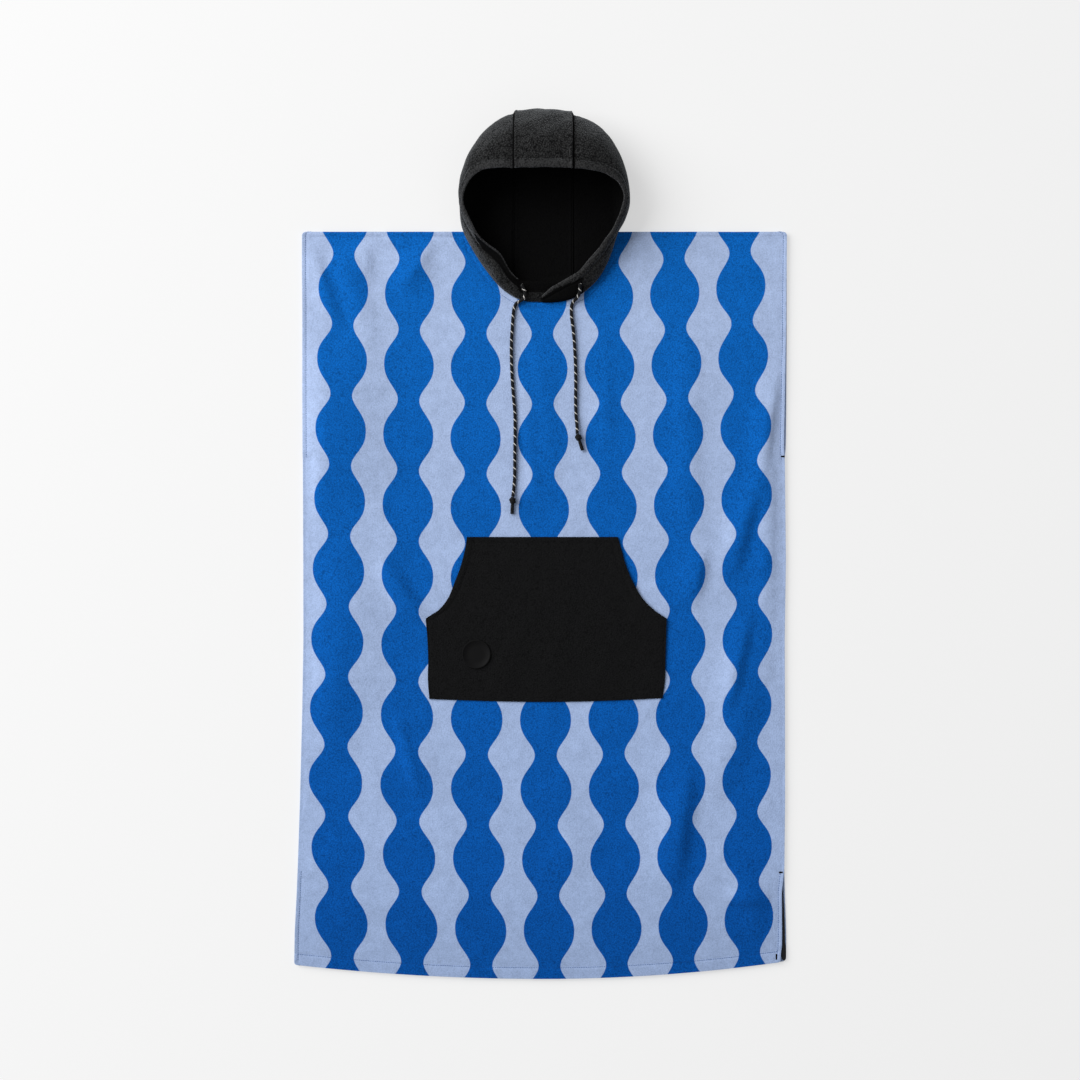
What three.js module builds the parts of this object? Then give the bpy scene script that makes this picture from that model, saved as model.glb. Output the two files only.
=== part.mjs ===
// Hooded bath poncho laid flat on its back, face up, hood open towards +Y.
// Millimetres, +Z up. The origin is under the middle of the whole garment, on the surface it lies on.
import * as THREE from "three";

// Driving dimensions.
const wall = 2.4;
const seamGap = 0.3;
const shoulderY = 471;
const hemMiddleY = -648;
const hemMiddleX = 4;
const hemHalfWidth = 362;
const hemRise = { left: 20, right: 26 };
const neck = { x: 0, halfWidth: 113, frontDepth: 106.5, backDepth: 75 };
const neckCurve = { left: { power: 2.4, root: 1 }, right: { power: 3, root: 0.68 } };
const cordDiameter = 5;
const patchRadius = 21.5;
const patchThickness = 1.6;
const patchSeat = 1.5;
const tapeThickness = 1.4;

// Heights of the middle of each layer of cloth.
const backLayer = wall / 2;
const frontLayer = backLayer + wall + seamGap;
const frontTop = frontLayer + wall / 2;

// Side edges of the body from the shoulders to the hem: the back panel's edge is the outline,
// and the front panel stands back from it on the right at the arm opening and at the slit.
const sideRows = [
  { y: 471, left: -357.3, right: 369.2, frontInset: 0 },
  { y: 309, left: -356.6, right: 369.0, frontInset: 1.2 },
  { y: 150, left: -356.0, right: 367.8, frontInset: 1.6 },
  { y: 129, left: -356.0, right: 366.0, frontInset: 0 },
  { y: -20, left: -355.4, right: 367.6, frontInset: 0 },
  { y: -140, left: -355.2, right: 365.8, frontInset: 0 },
  { y: -240, left: -356.8, right: 366.2, frontInset: 0 },
  { y: -380, left: -360.3, right: 366.4, frontInset: 0 },
  { y: -480, left: -363.6, right: 365.4, frontInset: 0 },
  { y: -520, left: -365.2, right: 366.4, frontInset: 5.0 },
  { y: -580, left: -368.2, right: 368.4, frontInset: 6.4 },
  { y: -648, left: -369.0, right: 368.0, frontInset: 6.4 },
];

// Soft folds of the front panel: ridges that stand off the back panel, each along a line.
const foldRows = [
  { x0: -333, y0: 345, x1: -328, y1: 20, width: 21, height: 4.6 },
  { x0: -300, y0: 452, x1: -252, y1: 290, width: 19, height: 4.2 },
  { x0: -160, y0: 452, x1: -205, y1: 366, width: 16, height: 3.2 },
  { x0: -8, y0: 330, x1: 20, y1: 60, width: 17, height: 2.2 },
  { x0: 216, y0: 330, x1: 225, y1: -30, width: 22, height: 4.2 },
  { x0: 340, y0: 200, x1: 336, y1: -145, width: 17, height: 4.2 },
  { x0: 338, y0: -130, x1: 255, y1: -390, width: 24, height: 4.0 },
  { x0: -240, y0: -10, x1: -196, y1: -112, width: 17, height: 3.2 },
  { x0: -205, y0: -250, x1: -152, y1: -390, width: 21, height: 3.2 },
  { x0: 296, y0: -470, x1: 330, y1: -585, width: 20, height: 2.6 },
  { x0: -318, y0: -130, x1: -308, y1: -330, width: 24, height: 3.4 },
  { x0: 30, y0: -320, x1: 52, y1: -540, width: 26, height: 2.2 },
];

// Pocket: its left and right edges from the top edge down to the bottom edge. The patch sits on
// the highest part of the pocket's swell below it.
const pocketRows = [
  { y: 14.0, left: -110.0, right: 115.6 },
  { y: -2, left: -112.6, right: 120.4 },
  { y: -30, left: -119.6, right: 128.4 },
  { y: -54, left: -128.6, right: 138.8 },
  { y: -77, left: -138.0, right: 151.8 },
  { y: -95, left: -152.0, right: 169.6 },
  { y: -102.5, left: -163.4, right: 180.0 },
  { y: -108.5, left: -172.0, right: 189.0 },
  { y: -138, left: -169.4, right: 188.0 },
  { y: -170, left: -168.2, right: 187.2 },
  { y: -202, left: -168.6, right: 186.2 },
  { y: -228, left: -166.4, right: 182.8 },
];
const pocketPuff = 2.4;
const pocketSag = { left: -228.6, middle: -233.0, right: -227.4 };

// Hood laid open like a bowl. Each row is one section from the seam beside the crown strip round
// to the front: the rim of the face opening, the rounded top, the widest line and the foot.
const crownRows = [
  { rim: [-39.5, 557.5, 86], top: [-39.5, 604, 83], out: [-39.5, 643.5, 45], foot: [-39.5, 614, 1.2] },
  { rim: [4.5, 557.5, 89], top: [4.5, 607, 87], out: [4.5, 648, 45], foot: [4.5, 618, 1.2] },
  { rim: [48.5, 556.5, 86], top: [48.5, 604, 83], out: [48.5, 642, 45], foot: [48.5, 614, 1.2] },
];
const leftRows = [
  { rim: [-39.5, 557.5, 86], top: [-39.5, 604, 83], out: [-39.5, 643.5, 45], foot: [-39.5, 614, 1.2] },
  { rim: [-64, 557, 83], top: [-72, 593, 80], out: [-80, 617.5, 45], foot: [-68, 596, 1.2] },
  { rim: [-90, 553.5, 75], top: [-102, 568, 70], out: [-109.5, 574, 43], foot: [-92, 562, 1.2] },
  { rim: [-110, 532, 65], top: [-117, 533, 57], out: [-119.6, 532, 36], foot: [-102, 528, 1.2] },
  { rim: [-114.5, 507, 58], top: [-118.4, 504, 46], out: [-118.6, 502, 27], foot: [-106, 498, 1.2] },
  { rim: [-102, 476, 50], top: [-112, 473.5, 36], out: [-114.6, 472, 17], foot: [-109.4, 470.4, 4.3] },
  { rim: [-80, 449.5, 40], top: [-92.5, 445, 28], out: [-98, 440, 14], foot: [-95.5, 438.4, 4.6] },
  { rim: [-60, 432.5, 33], top: [-66, 413, 26], out: [-64, 393.5, 12], foot: [-62, 392.4, 4.6] },
  { rim: [-42, 406, 21], top: [-44, 393, 18], out: [-42, 376.2, 10.4], foot: [-40, 374.6, 4.6] },
  { rim: [-29, 397, 13], top: [-28, 385, 12], out: [-26, 369.4, 8], foot: [-25, 369.4, 4.2] },
  { rim: [8, 394, 10.6], top: [6, 382, 8.4], out: [4, 369, 5.2], foot: [4, 367, 3.95] },
  { rim: [30, 392, 9.4], top: [29, 382, 7.8], out: [28, 370.5, 5.0], foot: [28, 368.4, 3.95] },
];
const rightRows = [
  { rim: [48.5, 556.5, 86], top: [48.5, 604, 83], out: [48.5, 642, 45], foot: [48.5, 614, 1.2] },
  { rim: [74, 554.5, 82], top: [84, 592, 79], out: [92, 617, 45], foot: [78, 596, 1.2] },
  { rim: [98, 549, 74], top: [111, 567, 69], out: [119.8, 574, 43], foot: [102, 562, 1.2] },
  { rim: [118, 534, 66], top: [126.5, 535, 56], out: [130, 534, 36], foot: [112, 530, 1.2] },
  { rim: [124, 516, 60], top: [129.6, 513, 48], out: [130.4, 511, 29], foot: [114, 506, 1.2] },
  { rim: [120, 497, 55], top: [125.4, 492, 42], out: [124.8, 489, 23], foot: [113.5, 488, 1.2] },
  { rim: [112.5, 478, 50], top: [117, 474, 36], out: [115.2, 471.6, 17], foot: [109.2, 470.4, 4.3] },
  { rim: [102, 461, 44], top: [108, 452, 31], out: [107.6, 446, 14], foot: [104, 446, 4.6] },
  { rim: [84, 439, 36], top: [91, 425, 26], out: [91.5, 410, 14], foot: [89.4, 410, 4.6] },
  { rim: [69, 421, 30], top: [75, 404, 22], out: [74.5, 389.4, 12.6], foot: [73, 389, 4.6] },
  { rim: [56, 408, 26.5], top: [58, 392, 20], out: [56, 375.4, 11], foot: [54.6, 375.4, 5.2] },
  { rim: [40, 399, 24], top: [40, 386, 19], out: [37, 369, 12.4], foot: [36, 368.6, 7.8] },
  { rim: [19, 387, 20.4], top: [19, 379, 17], out: [18, 367.4, 12.2], foot: [18, 366.4, 8.4] },
  { rim: [2, 374, 14], top: [2, 371, 12.8], out: [2, 368, 10.8], foot: [2, 366, 8.4] },
];
const leftShoulderRow = 5;
const rightShoulderRow = 6;

// Free ends of the drawcord, from the eyelet in the hood's edge down to the knot; heights are
// above the front panel, and the first few points lie on the hood or against its edge.
const leftCordRoute = [
  { x: -28.4, y: 391.0, lift: 12.0 },
  { x: -24.8, y: 384.2, lift: 10.9 },
  { x: -22.9, y: 377.4, lift: 9.4 },
  { x: -25.0, y: 370.8, lift: 8.3 },
  { x: -30.4, y: 366.9, lift: 6.0 },
  { x: -36.0, y: 363.4, lift: 3.9 },
  { x: -39.4, y: 356, lift: 3.2 },
  { x: -41.0, y: 345, lift: 3.2 },
  { x: -42.0, y: 330, lift: 3.2 },
  { x: -43.4, y: 308, lift: 3.2 },
  { x: -43.6, y: 284, lift: 3.2 },
  { x: -42.6, y: 256, lift: 3.2 },
  { x: -40.6, y: 226, lift: 3.2 },
  { x: -38.4, y: 200, lift: 3.2 },
  { x: -38.0, y: 170, lift: 3.2 },
  { x: -38.4, y: 138, lift: 3.2 },
  { x: -38.8, y: 104, lift: 3.2 },
  { x: -40.0, y: 86, lift: 3.8 },
  { x: -41.4, y: 74.2, lift: 5.8 },
];
const rightCordRoute = [
  { x: 59.0, y: 391.4, lift: 19.4 },
  { x: 58.8, y: 383.4, lift: 15.8 },
  { x: 57.9, y: 377.0, lift: 12.5 },
  { x: 54.4, y: 371.2, lift: 8.6 },
  { x: 49.6, y: 366.6, lift: 5.2 },
  { x: 46.6, y: 359.4, lift: 3.5 },
  { x: 46.2, y: 349, lift: 3.2 },
  { x: 47.4, y: 336, lift: 3.2 },
  { x: 49.0, y: 324, lift: 3.2 },
  { x: 50.8, y: 302, lift: 3.2 },
  { x: 52.2, y: 276, lift: 3.2 },
  { x: 52.8, y: 248, lift: 3.2 },
  { x: 52.6, y: 218, lift: 3.2 },
  { x: 53.2, y: 196, lift: 3.4 },
  { x: 54.6, y: 180, lift: 4.4 },
  { x: 55.0, y: 168.4, lift: 5.8 },
];
const knot = { radius: 5.3, length: 11, tailRadius: 2.7, tailLength: 14 };
const leftKnotEnds = { start: [-41.5, 73.4], end: [-42.6, 48.5] };
const rightKnotEnds = { start: [55.2, 167.6], end: [62.8, 143.8] };

const patchCentre = { x: -96.2, y: -161.5 };
const tape = { left: 362.4, right: 365.0, endRight: 366.6, top: -507, endTop: -596, bottom: -621 };

const colours = {
  towelling: 0x1266bd,
  back: 0x1560b0,
  fleece: 0x232323,
  pocket: 0x17181a,
  cord: 0x1c1c20,
  rubber: 0x0c0d0e,
};

// Value at x of the line through the rows, eased between them.
function along(rows, key, at, name) {
  const rising = rows[0][key] < rows[rows.length - 1][key];
  const sorted = rising ? rows : [...rows].reverse();
  const last = sorted.length - 1;
  if (at <= sorted[0][key]) return sorted[0][name];
  if (at >= sorted[last][key]) return sorted[last][name];
  const i = sorted.findIndex((row) => row[key] > at) - 1;
  const [a, b] = [sorted[i], sorted[i + 1]];
  const t = (at - a[key]) / (b[key] - a[key]);
  return a[name] + (b[name] - a[name]) * t;
}

function smoothStep(t) {
  const s = Math.min(Math.max(t, 0), 1);
  return s * s * (3 - 2 * s);
}

function hemY(x) {
  const t = (x - hemMiddleX) / hemHalfWidth;
  return hemMiddleY + (t < 0 ? hemRise.left : hemRise.right) * t * t;
}

// Neckline: a scoop cut into the shoulder line, fuller on the right where the hood folds over.
function neckY(x, depth) {
  const t = Math.min(Math.abs(x - neck.x) / neck.halfWidth, 1);
  const { power, root } = x < neck.x ? neckCurve.left : neckCurve.right;
  return shoulderY - depth * (1 - t ** power) ** root;
}

// How far the folds lift the front panel at a place.
function foldHeight(x, y) {
  let height = 0;
  for (const fold of foldRows) {
    const dx = fold.x1 - fold.x0;
    const dy = fold.y1 - fold.y0;
    const t = ((x - fold.x0) * dx + (y - fold.y0) * dy) / (dx * dx + dy * dy);
    if (t < 0 || t > 1) continue;
    const away = ((x - fold.x0) * dy - (y - fold.y0) * dx) / Math.hypot(dx, dy);
    const taper = Math.sin(Math.PI * t) ** 0.8;
    height += fold.height * taper * Math.exp(-((away / fold.width) ** 2));
  }
  return height;
}

// A wall of cloth about a middle surface: every point goes out to both sides along its normal,
// and the free edges are closed by side faces. Points at one place are one point.
function thickenSheet(points, triangles, thickness, seamPlanes = []) {
  const places = new Map();
  const unique = [];
  const index = points.map((point) => {
    const key = point.map((value) => value.toFixed(3)).join(" ");
    if (!places.has(key)) places.set(key, unique.push(new THREE.Vector3(...point)) - 1);
    return places.get(key);
  });
  const faces = triangles
    .map((triangle) => triangle.map((i) => index[i]))
    .filter(([a, b, c]) => a !== b && b !== c && c !== a);
  const normals = unique.map(() => new THREE.Vector3());
  const edges = new Map();
  for (const face of faces) {
    const [a, b, c] = face.map((i) => unique[i]);
    const normal = new THREE.Vector3().crossVectors(b.clone().sub(a), c.clone().sub(a));
    face.forEach((i) => normals[i].add(normal));
    for (let k = 0; k < 3; k += 1) {
      const from = face[k];
      const to = face[(k + 1) % 3];
      if (!edges.delete(`${to} ${from}`)) edges.set(`${from} ${to}`, [from, to]);
    }
  }
  // At a seam the edges of two panels stay square to it, so that their gap is even.
  unique.forEach((point, i) => {
    if (seamPlanes.some((x) => Math.abs(point.x - x) < 0.01)) normals[i].x = 0;
    normals[i].normalize();
  });
  const count = unique.length;
  const positions = [];
  for (const side of [1, -1]) {
    unique.forEach((point, i) => {
      positions.push(...point.clone().addScaledVector(normals[i], (side * thickness) / 2));
    });
  }
  const indices = [];
  for (const [a, b, c] of faces) {
    indices.push(a, b, c, c + count, b + count, a + count);
  }
  for (const [from, to] of edges.values()) {
    indices.push(from, from + count, to + count, from, to + count, to);
  }
  const geometry = new THREE.BufferGeometry();
  geometry.setAttribute("position", new THREE.Float32BufferAttribute(positions, 3));
  geometry.setIndex(indices);
  geometry.computeVertexNormals();
  return geometry;
}

// Triangles of a grid of points with its rows running down, seen from above.
function gridTriangles(rowCount, columnCount, start = 0) {
  const triangles = [];
  for (let row = 0; row < rowCount - 1; row += 1) {
    for (let column = 0; column < columnCount - 1; column += 1) {
      const a = start + row * columnCount + column;
      const c = a + columnCount;
      triangles.push([a, c, a + 1], [a + 1, c, c + 1]);
    }
  }
  return triangles;
}

function addPiece(group, name, geometry, colour, roughness) {
  const material = new THREE.MeshStandardMaterial({ color: colour, roughness, metalness: 0 });
  const mesh = new THREE.Mesh(geometry, material);
  mesh.name = name;
  group.add(mesh);
  return mesh;
}

// Places of the columns across the neckline, closer where its edge is steep.
function neckPlaces() {
  const count = 12;
  return Array.from({ length: count + 1 }, (_, i) => (
    neck.x - neck.halfWidth * Math.cos((Math.PI * i) / count)
  ));
}

function panelColumns() {
  const sideCount = 8;
  const columns = [];
  for (let i = 0; i < sideCount; i += 1) columns.push({ side: "left", t: i / sideCount });
  columns.push(...neckPlaces().map((x) => ({ side: "neck", x })));
  for (let i = 1; i <= sideCount; i += 1) columns.push({ side: "right", t: i / sideCount });
  return columns;
}

function bodyPanel({ depth, inset, layer, rowCount, lift }) {
  const points = [];
  const columns = panelColumns();
  const rowPlaces = Array.from({ length: rowCount }, (_, i) => i / (rowCount - 1));
  for (const v of rowPlaces) {
    for (const column of columns) {
      let x = column.x ?? neck.x + (column.side === "left" ? -1 : 1) * neck.halfWidth;
      const top = column.side === "neck" ? neckY(x, depth) : shoulderY;
      let y = top + (hemY(x) - top) * v;
      if (column.side === "left") {
        x += (along(sideRows, "y", y, "left") - x) * (1 - column.t);
      } else if (column.side === "right") {
        const edge = along(sideRows, "y", y, "right") - inset * along(sideRows, "y", y, "frontInset");
        x += (edge - x) * column.t;
      }
      y = top + (hemY(x) - top) * v;
      points.push([x, y, layer + lift(x, y)]);
    }
  }
  return thickenSheet(points, gridTriangles(rowCount, columns.length), wall);
}

// The pocket rides on the front panel and swells a little between its sewn edges.
function pocketGeometry() {
  const columnCount = 15;
  const base = frontTop + seamGap + wall / 2;
  const bottom = pocketRows[pocketRows.length - 1].y;
  const top = pocketRows[0].y;
  const points = [];
  for (const row of pocketRows) {
    for (let i = 0; i < columnCount; i += 1) {
      const t = i / (columnCount - 1);
      const x = row.left + (row.right - row.left) * t;
      const down = (top - row.y) / (top - bottom);
      const sag = t < 0.5
        ? pocketSag.left + (pocketSag.middle - pocketSag.left) * Math.sin(Math.PI * t)
        : pocketSag.right + (pocketSag.middle - pocketSag.right) * Math.sin(Math.PI * t);
      const y = row.y + (sag - bottom) * down ** 4;
      const swell = Math.sin(Math.PI * down) * (0.35 + 0.65 * Math.sin(Math.PI * t));
      points.push([x, y, base + pocketPuff * swell]);
    }
  }
  return thickenSheet(points, gridTriangles(pocketRows.length, columnCount), wall);
}

const sectionSteps = [0, 0.09, 0.2, 0.32, 0.45, 0.58, 0.7, 0.8, 0.89, 0.95, 1];

// One section of the hood as points from the rim to the foot.
function sectionPoints({ rim, top, out, foot }) {
  const curve = new THREE.CatmullRomCurve3(
    [rim, top, out, foot].map((place) => new THREE.Vector3(...place)),
    false,
    "centripetal",
  );
  return sectionSteps.map((t) => {
    const point = curve.getPoint(t);
    point.z = Math.max(point.z, backLayer);
    return point;
  });
}

// Sections between the given rows, by smooth curves through each of their four places.
function blendRows(rows, stepsPerRow) {
  const names = ["rim", "top", "out", "foot"];
  const curves = names.map((name) => new THREE.CatmullRomCurve3(
    rows.map((row) => new THREE.Vector3(...row[name])),
    false,
    "centripetal",
  ));
  const count = (rows.length - 1) * stepsPerRow;
  return Array.from({ length: count + 1 }, (_, i) => {
    const places = curves.map((curve) => {
      const [x, y, z] = curve.getPoint(i / count).toArray();
      return [x, y, Math.max(z, backLayer)];
    });
    return Object.fromEntries(names.map((name, k) => [name, places[k]]));
  });
}

// The place of a panel's edge on the seam plane, half the gap away from the other panel.
function shiftedRows(rows, shift) {
  return rows.map((row, i) => {
    if (i > 0) return row;
    const moved = Object.entries(row).map(([name, [x, y, z]]) => [name, [x + shift, y, z]]);
    return Object.fromEntries(moved);
  });
}

// A place on the hood's side of a panel's neckline, clear of its straight steps.
function neckPoint(x, depth, clearance, z) {
  const places = neckPlaces();
  const i = Math.max(places.findIndex((place) => place > x), 1);
  const [x0, x1] = [places[i - 1], places[i]];
  const [y0, y1] = [x0, x1].map((place) => neckY(place, depth));
  const slope = (y1 - y0) / (x1 - x0);
  return new THREE.Vector3(x, y0 + slope * (x - x0) + clearance * Math.hypot(1, slope), z);
}

// Edge of the hood's back at the back panel's neckline.
function backNeckPoint(x) {
  return neckPoint(x, neck.backDepth, seamGap + 0.1, backLayer);
}

// A side panel of the hood: its wall from the rim to the foot, and the part that lies on the
// ground, from the foot in to the seam with the crown strip and down to the back neckline.
function hoodSide(rows, shoulderRow, side, seamShift) {
  const stepsPerRow = 2;
  const floorSteps = 6;
  const shoulderIndex = shoulderRow * stepsPerRow;
  const sections = blendRows(shiftedRows(rows, seamShift), stepsPerRow);
  sections.slice(shoulderIndex + 1).forEach((section) => {
    const [x, , z] = section.foot;
    section.foot = neckPoint(x, neck.frontDepth, wall / 2 + 2 * seamGap, z).toArray();
  });
  const flip = side === "right";
  const points = [];
  for (const section of sections) {
    points.push(...sectionPoints(section).map((point) => point.toArray()));
  }
  const columnCount = sectionSteps.length;
  const wallTriangles = gridTriangles(sections.length, columnCount);
  const feet = sections.slice(0, shoulderIndex + 1).map((section) => new THREE.Vector3(...section.foot));
  const shoulder = feet[shoulderIndex];
  const seamX = rows[0].rim[0] + seamShift;
  const seamEnd = backNeckPoint(seamX);
  const start = points.length;
  feet.forEach((foot, i) => {
    const u = i / shoulderIndex;
    const seamPoint = feet[0].clone().lerp(seamEnd, u);
    for (let j = 0; j <= floorSteps; j += 1) {
      const w = j / floorSteps;
      const point = foot.clone().lerp(seamPoint, w);
      const chord = shoulder.clone().lerp(seamEnd, w);
      const edge = backNeckPoint(chord.x);
      if (j === 0) edge.copy(shoulder);
      point.addScaledVector(edge.sub(chord), u);
      point.z = Math.max(point.z, backLayer);
      points.push(point.toArray());
    }
  });
  const floorTriangles = gridTriangles(feet.length, floorSteps + 1, start);
  let triangles = [...wallTriangles, ...floorTriangles];
  if (!flip) triangles = triangles.map(([a, b, c]) => [a, c, b]);
  return thickenSheet(points, triangles, wall, [seamX]);
}

// The crown strip: from the rim over the crown, down and back along the ground to the neckline.
function crownStrip(rows) {
  const inner = seamGap / 2;
  const edges = rows.map((row, i) => {
    const shift = [inner, 0, -inner][i];
    const moved = Object.entries(row).map(([name, [x, y, z]]) => [name, [x + shift, y, z]]);
    return Object.fromEntries(moved);
  });
  const sections = blendRows(edges, 3);
  const floorSteps = 8;
  const points = sections.flatMap((section) => {
    const walls = sectionPoints(section).map((point) => point.toArray());
    const foot = new THREE.Vector3(...section.foot);
    const end = backNeckPoint(foot.x);
    const floor = Array.from({ length: floorSteps }, (_, j) => (
      foot.clone().lerp(end, (j + 1) / floorSteps).toArray()
    ));
    return [...walls, ...floor];
  });
  const columnCount = sectionSteps.length + floorSteps;
  const seams = [rows[0].rim[0] + inner, rows[rows.length - 1].rim[0] - inner];
  return thickenSheet(points, gridTriangles(sections.length, columnCount), wall, seams);
}

// A cord along its route, standing the given height above the front panel.
function cordGeometry(route, stepCount) {
  const curve = new THREE.CatmullRomCurve3(
    route.map(({ x, y, lift }) => new THREE.Vector3(x, y, frontTop + lift + foldHeight(x, y))),
    false,
    "centripetal",
  );
  const section = new THREE.Shape();
  section.absarc(0, 0, cordDiameter / 2, 0, Math.PI * 2);
  return new THREE.ExtrudeGeometry(section, {
    steps: stepCount,
    extrudePath: curve,
    curveSegments: 4,
    bevelEnabled: false,
  });
}

// An overhand knot and the short tail below it, turned about the line between its ends.
function knotGeometry({ start, end }) {
  const profile = [
    [0, 0],
    [2.6, 0.2],
    [4.6, 1.8],
    [knot.radius, 4.4],
    [5.0, 7.6],
    [3.4, knot.length - 1],
    [knot.tailRadius, knot.length],
    [knot.tailRadius, knot.length + knot.tailLength - 1.6],
    [2.1, knot.length + knot.tailLength],
    [0, knot.length + knot.tailLength],
  ].map(([radius, height]) => new THREE.Vector2(radius, height));
  const geometry = new THREE.LatheGeometry(profile, 10);
  const z = frontTop + seamGap + knot.radius;
  const from = new THREE.Vector3(start[0], start[1], z);
  const to = new THREE.Vector3(end[0], end[1], z);
  const axis = to.clone().sub(from).normalize();
  geometry.applyQuaternion(new THREE.Quaternion().setFromUnitVectors(new THREE.Vector3(0, 1, 0), axis));
  geometry.translate(...from);
  return geometry;
}

// The bare round patch with its raised rim.
function patchGeometry() {
  const rim = 0.5;
  const profile = [
    [0, 0],
    [patchRadius, 0],
    [patchRadius, patchThickness - rim],
    [patchRadius - rim, patchThickness],
    [patchRadius - 2.2, patchThickness],
    [patchRadius - 2.7, patchThickness - rim],
    [0, patchThickness - rim],
  ].map(([radius, height]) => new THREE.Vector2(radius, height));
  const geometry = new THREE.LatheGeometry(profile, 32);
  geometry.rotateX(Math.PI / 2);
  return geometry;
}

// The tape that edges the back of the right slit, with a wider end at the hem.
function tapeGeometry() {
  const outline = new THREE.Shape();
  const round = 2;
  outline.moveTo(tape.left, tape.top);
  outline.lineTo(tape.left, tape.bottom + round);
  outline.quadraticCurveTo(tape.left, tape.bottom, tape.left + round, tape.bottom);
  outline.quadraticCurveTo(tape.endRight, tape.bottom, tape.endRight, tape.bottom + round);
  outline.lineTo(tape.endRight, tape.endTop);
  outline.lineTo(tape.right, tape.endTop + round);
  outline.lineTo(tape.right, tape.top);
  return new THREE.ExtrudeGeometry(outline, {
    depth: tapeThickness,
    curveSegments: 4,
    bevelEnabled: false,
  });
}

const poncho = new THREE.Group();

const backPanel = bodyPanel({
  depth: neck.backDepth, inset: 0, layer: backLayer, rowCount: 14, lift: () => 0,
});
const frontPanel = bodyPanel({
  depth: neck.frontDepth, inset: 1, layer: frontLayer, rowCount: 34, lift: foldHeight,
});
addPiece(poncho, "back_panel", backPanel, colours.back, 0.95);
addPiece(poncho, "front_panel", frontPanel, colours.towelling, 0.95);
addPiece(poncho, "hood_centre", crownStrip(crownRows), colours.fleece, 0.95);
addPiece(poncho, "hood_left", hoodSide(leftRows, leftShoulderRow, "left", -seamGap / 2), colours.fleece, 0.95);
addPiece(poncho, "hood_right", hoodSide(rightRows, rightShoulderRow, "right", seamGap / 2), colours.fleece, 0.95);
addPiece(poncho, "pocket", pocketGeometry(), colours.pocket, 0.95);

const patch = addPiece(poncho, "patch", patchGeometry(), colours.rubber, 0.5);
patch.position.set(patchCentre.x, patchCentre.y, frontTop + 2 * seamGap + wall + patchSeat);

const slitTape = addPiece(poncho, "slit_tape", tapeGeometry(), colours.cord, 0.8);
slitTape.position.z = wall + seamGap;

addPiece(poncho, "left_cord", cordGeometry(leftCordRoute, 30), colours.cord, 0.8);
addPiece(poncho, "right_cord", cordGeometry(rightCordRoute, 22), colours.cord, 0.8);
addPiece(poncho, "left_knot", knotGeometry(leftKnotEnds), colours.cord, 0.8);
addPiece(poncho, "right_knot", knotGeometry(rightKnotEnds), colours.cord, 0.8);

export default poncho;
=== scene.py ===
# Hooded bath poncho laid flat, face up. Tables are in millimetres in the part's own frame, with +X
# right, +Y towards the hood and +Z up, and makeMesh turns them into metres. Cord routes are in metres.
import math

import bpy
import numpy as np
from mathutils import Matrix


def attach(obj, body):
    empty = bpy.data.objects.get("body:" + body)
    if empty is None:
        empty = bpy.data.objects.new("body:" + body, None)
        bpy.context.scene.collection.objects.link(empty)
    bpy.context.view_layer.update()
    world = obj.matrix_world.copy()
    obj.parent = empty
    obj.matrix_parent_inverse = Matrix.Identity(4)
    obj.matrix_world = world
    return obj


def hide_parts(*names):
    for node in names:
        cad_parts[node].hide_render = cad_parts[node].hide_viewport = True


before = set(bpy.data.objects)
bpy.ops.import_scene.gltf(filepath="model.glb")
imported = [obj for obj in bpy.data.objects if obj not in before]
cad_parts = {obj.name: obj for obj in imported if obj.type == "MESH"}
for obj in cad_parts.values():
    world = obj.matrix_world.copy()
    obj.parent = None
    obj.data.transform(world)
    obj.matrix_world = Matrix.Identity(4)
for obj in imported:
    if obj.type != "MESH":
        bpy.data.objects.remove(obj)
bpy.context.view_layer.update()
mm = 0.001

camera = {"x": -0.75, "y": 9.4, "distance": 3825, "focal": 85, "sensor": 36}

scene = bpy.context.scene
cameraData = bpy.data.cameras.new("camera")
cameraData.lens = camera["focal"]
cameraData.sensor_width = camera["sensor"]
cameraObject = bpy.data.objects.new("camera", cameraData)
cameraObject.location = (camera["x"] * mm, camera["y"] * mm, camera["distance"] * mm)
scene.collection.objects.link(cameraObject)
scene.camera = cameraObject
scene.view_settings.view_transform = "Standard"
print("camera made")


# Meshes

def makeMesh(name, points, faces, material, uv=None, cornerUv=None):
    mesh = bpy.data.meshes.new(name)
    mesh.from_pydata((np.asarray(points) * mm).tolist(), [], faces)
    if uv is not None:
        corners = np.empty(len(mesh.loops), int)
        mesh.loops.foreach_get("vertex_index", corners)
        cornerUv = np.asarray(uv)[corners]
    if cornerUv is not None:
        layer = mesh.uv_layers.new(name="cut")
        layer.data.foreach_set("uv", np.asarray(cornerUv, "f").ravel())
    mesh.shade_smooth()
    piece = bpy.data.objects.new(name, mesh)
    piece.data.materials.append(material)
    scene.collection.objects.link(piece)
    return piece


def gridFaces(rows, columns, start=0):
    a = start + np.arange(rows - 1)[:, None] * columns + np.arange(columns - 1)
    return np.stack([a, a + columns, a + columns + 1, a + 1], -1).reshape(-1, 4)


def roundEdges(piece, width):
    bevel = piece.modifiers.new("bevel", "BEVEL")
    bevel.width = width * mm
    bevel.segments = 2
    bevel.limit_method = "ANGLE"
    bevel.angle_limit = math.radians(50)


def giveWall(piece):
    # the mesh is the middle of the cloth, so half the wall goes on each side
    wall = piece.modifiers.new("wall", "SOLIDIFY")
    wall.thickness = cloth["wall"] * mm
    wall.offset = 0
    wall.use_even_offset = True
    roundEdges(piece, cloth["roundness"])


def smooth(t):
    t = np.clip(t, 0, 1)
    return t * t * (3 - 2 * t)


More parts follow.
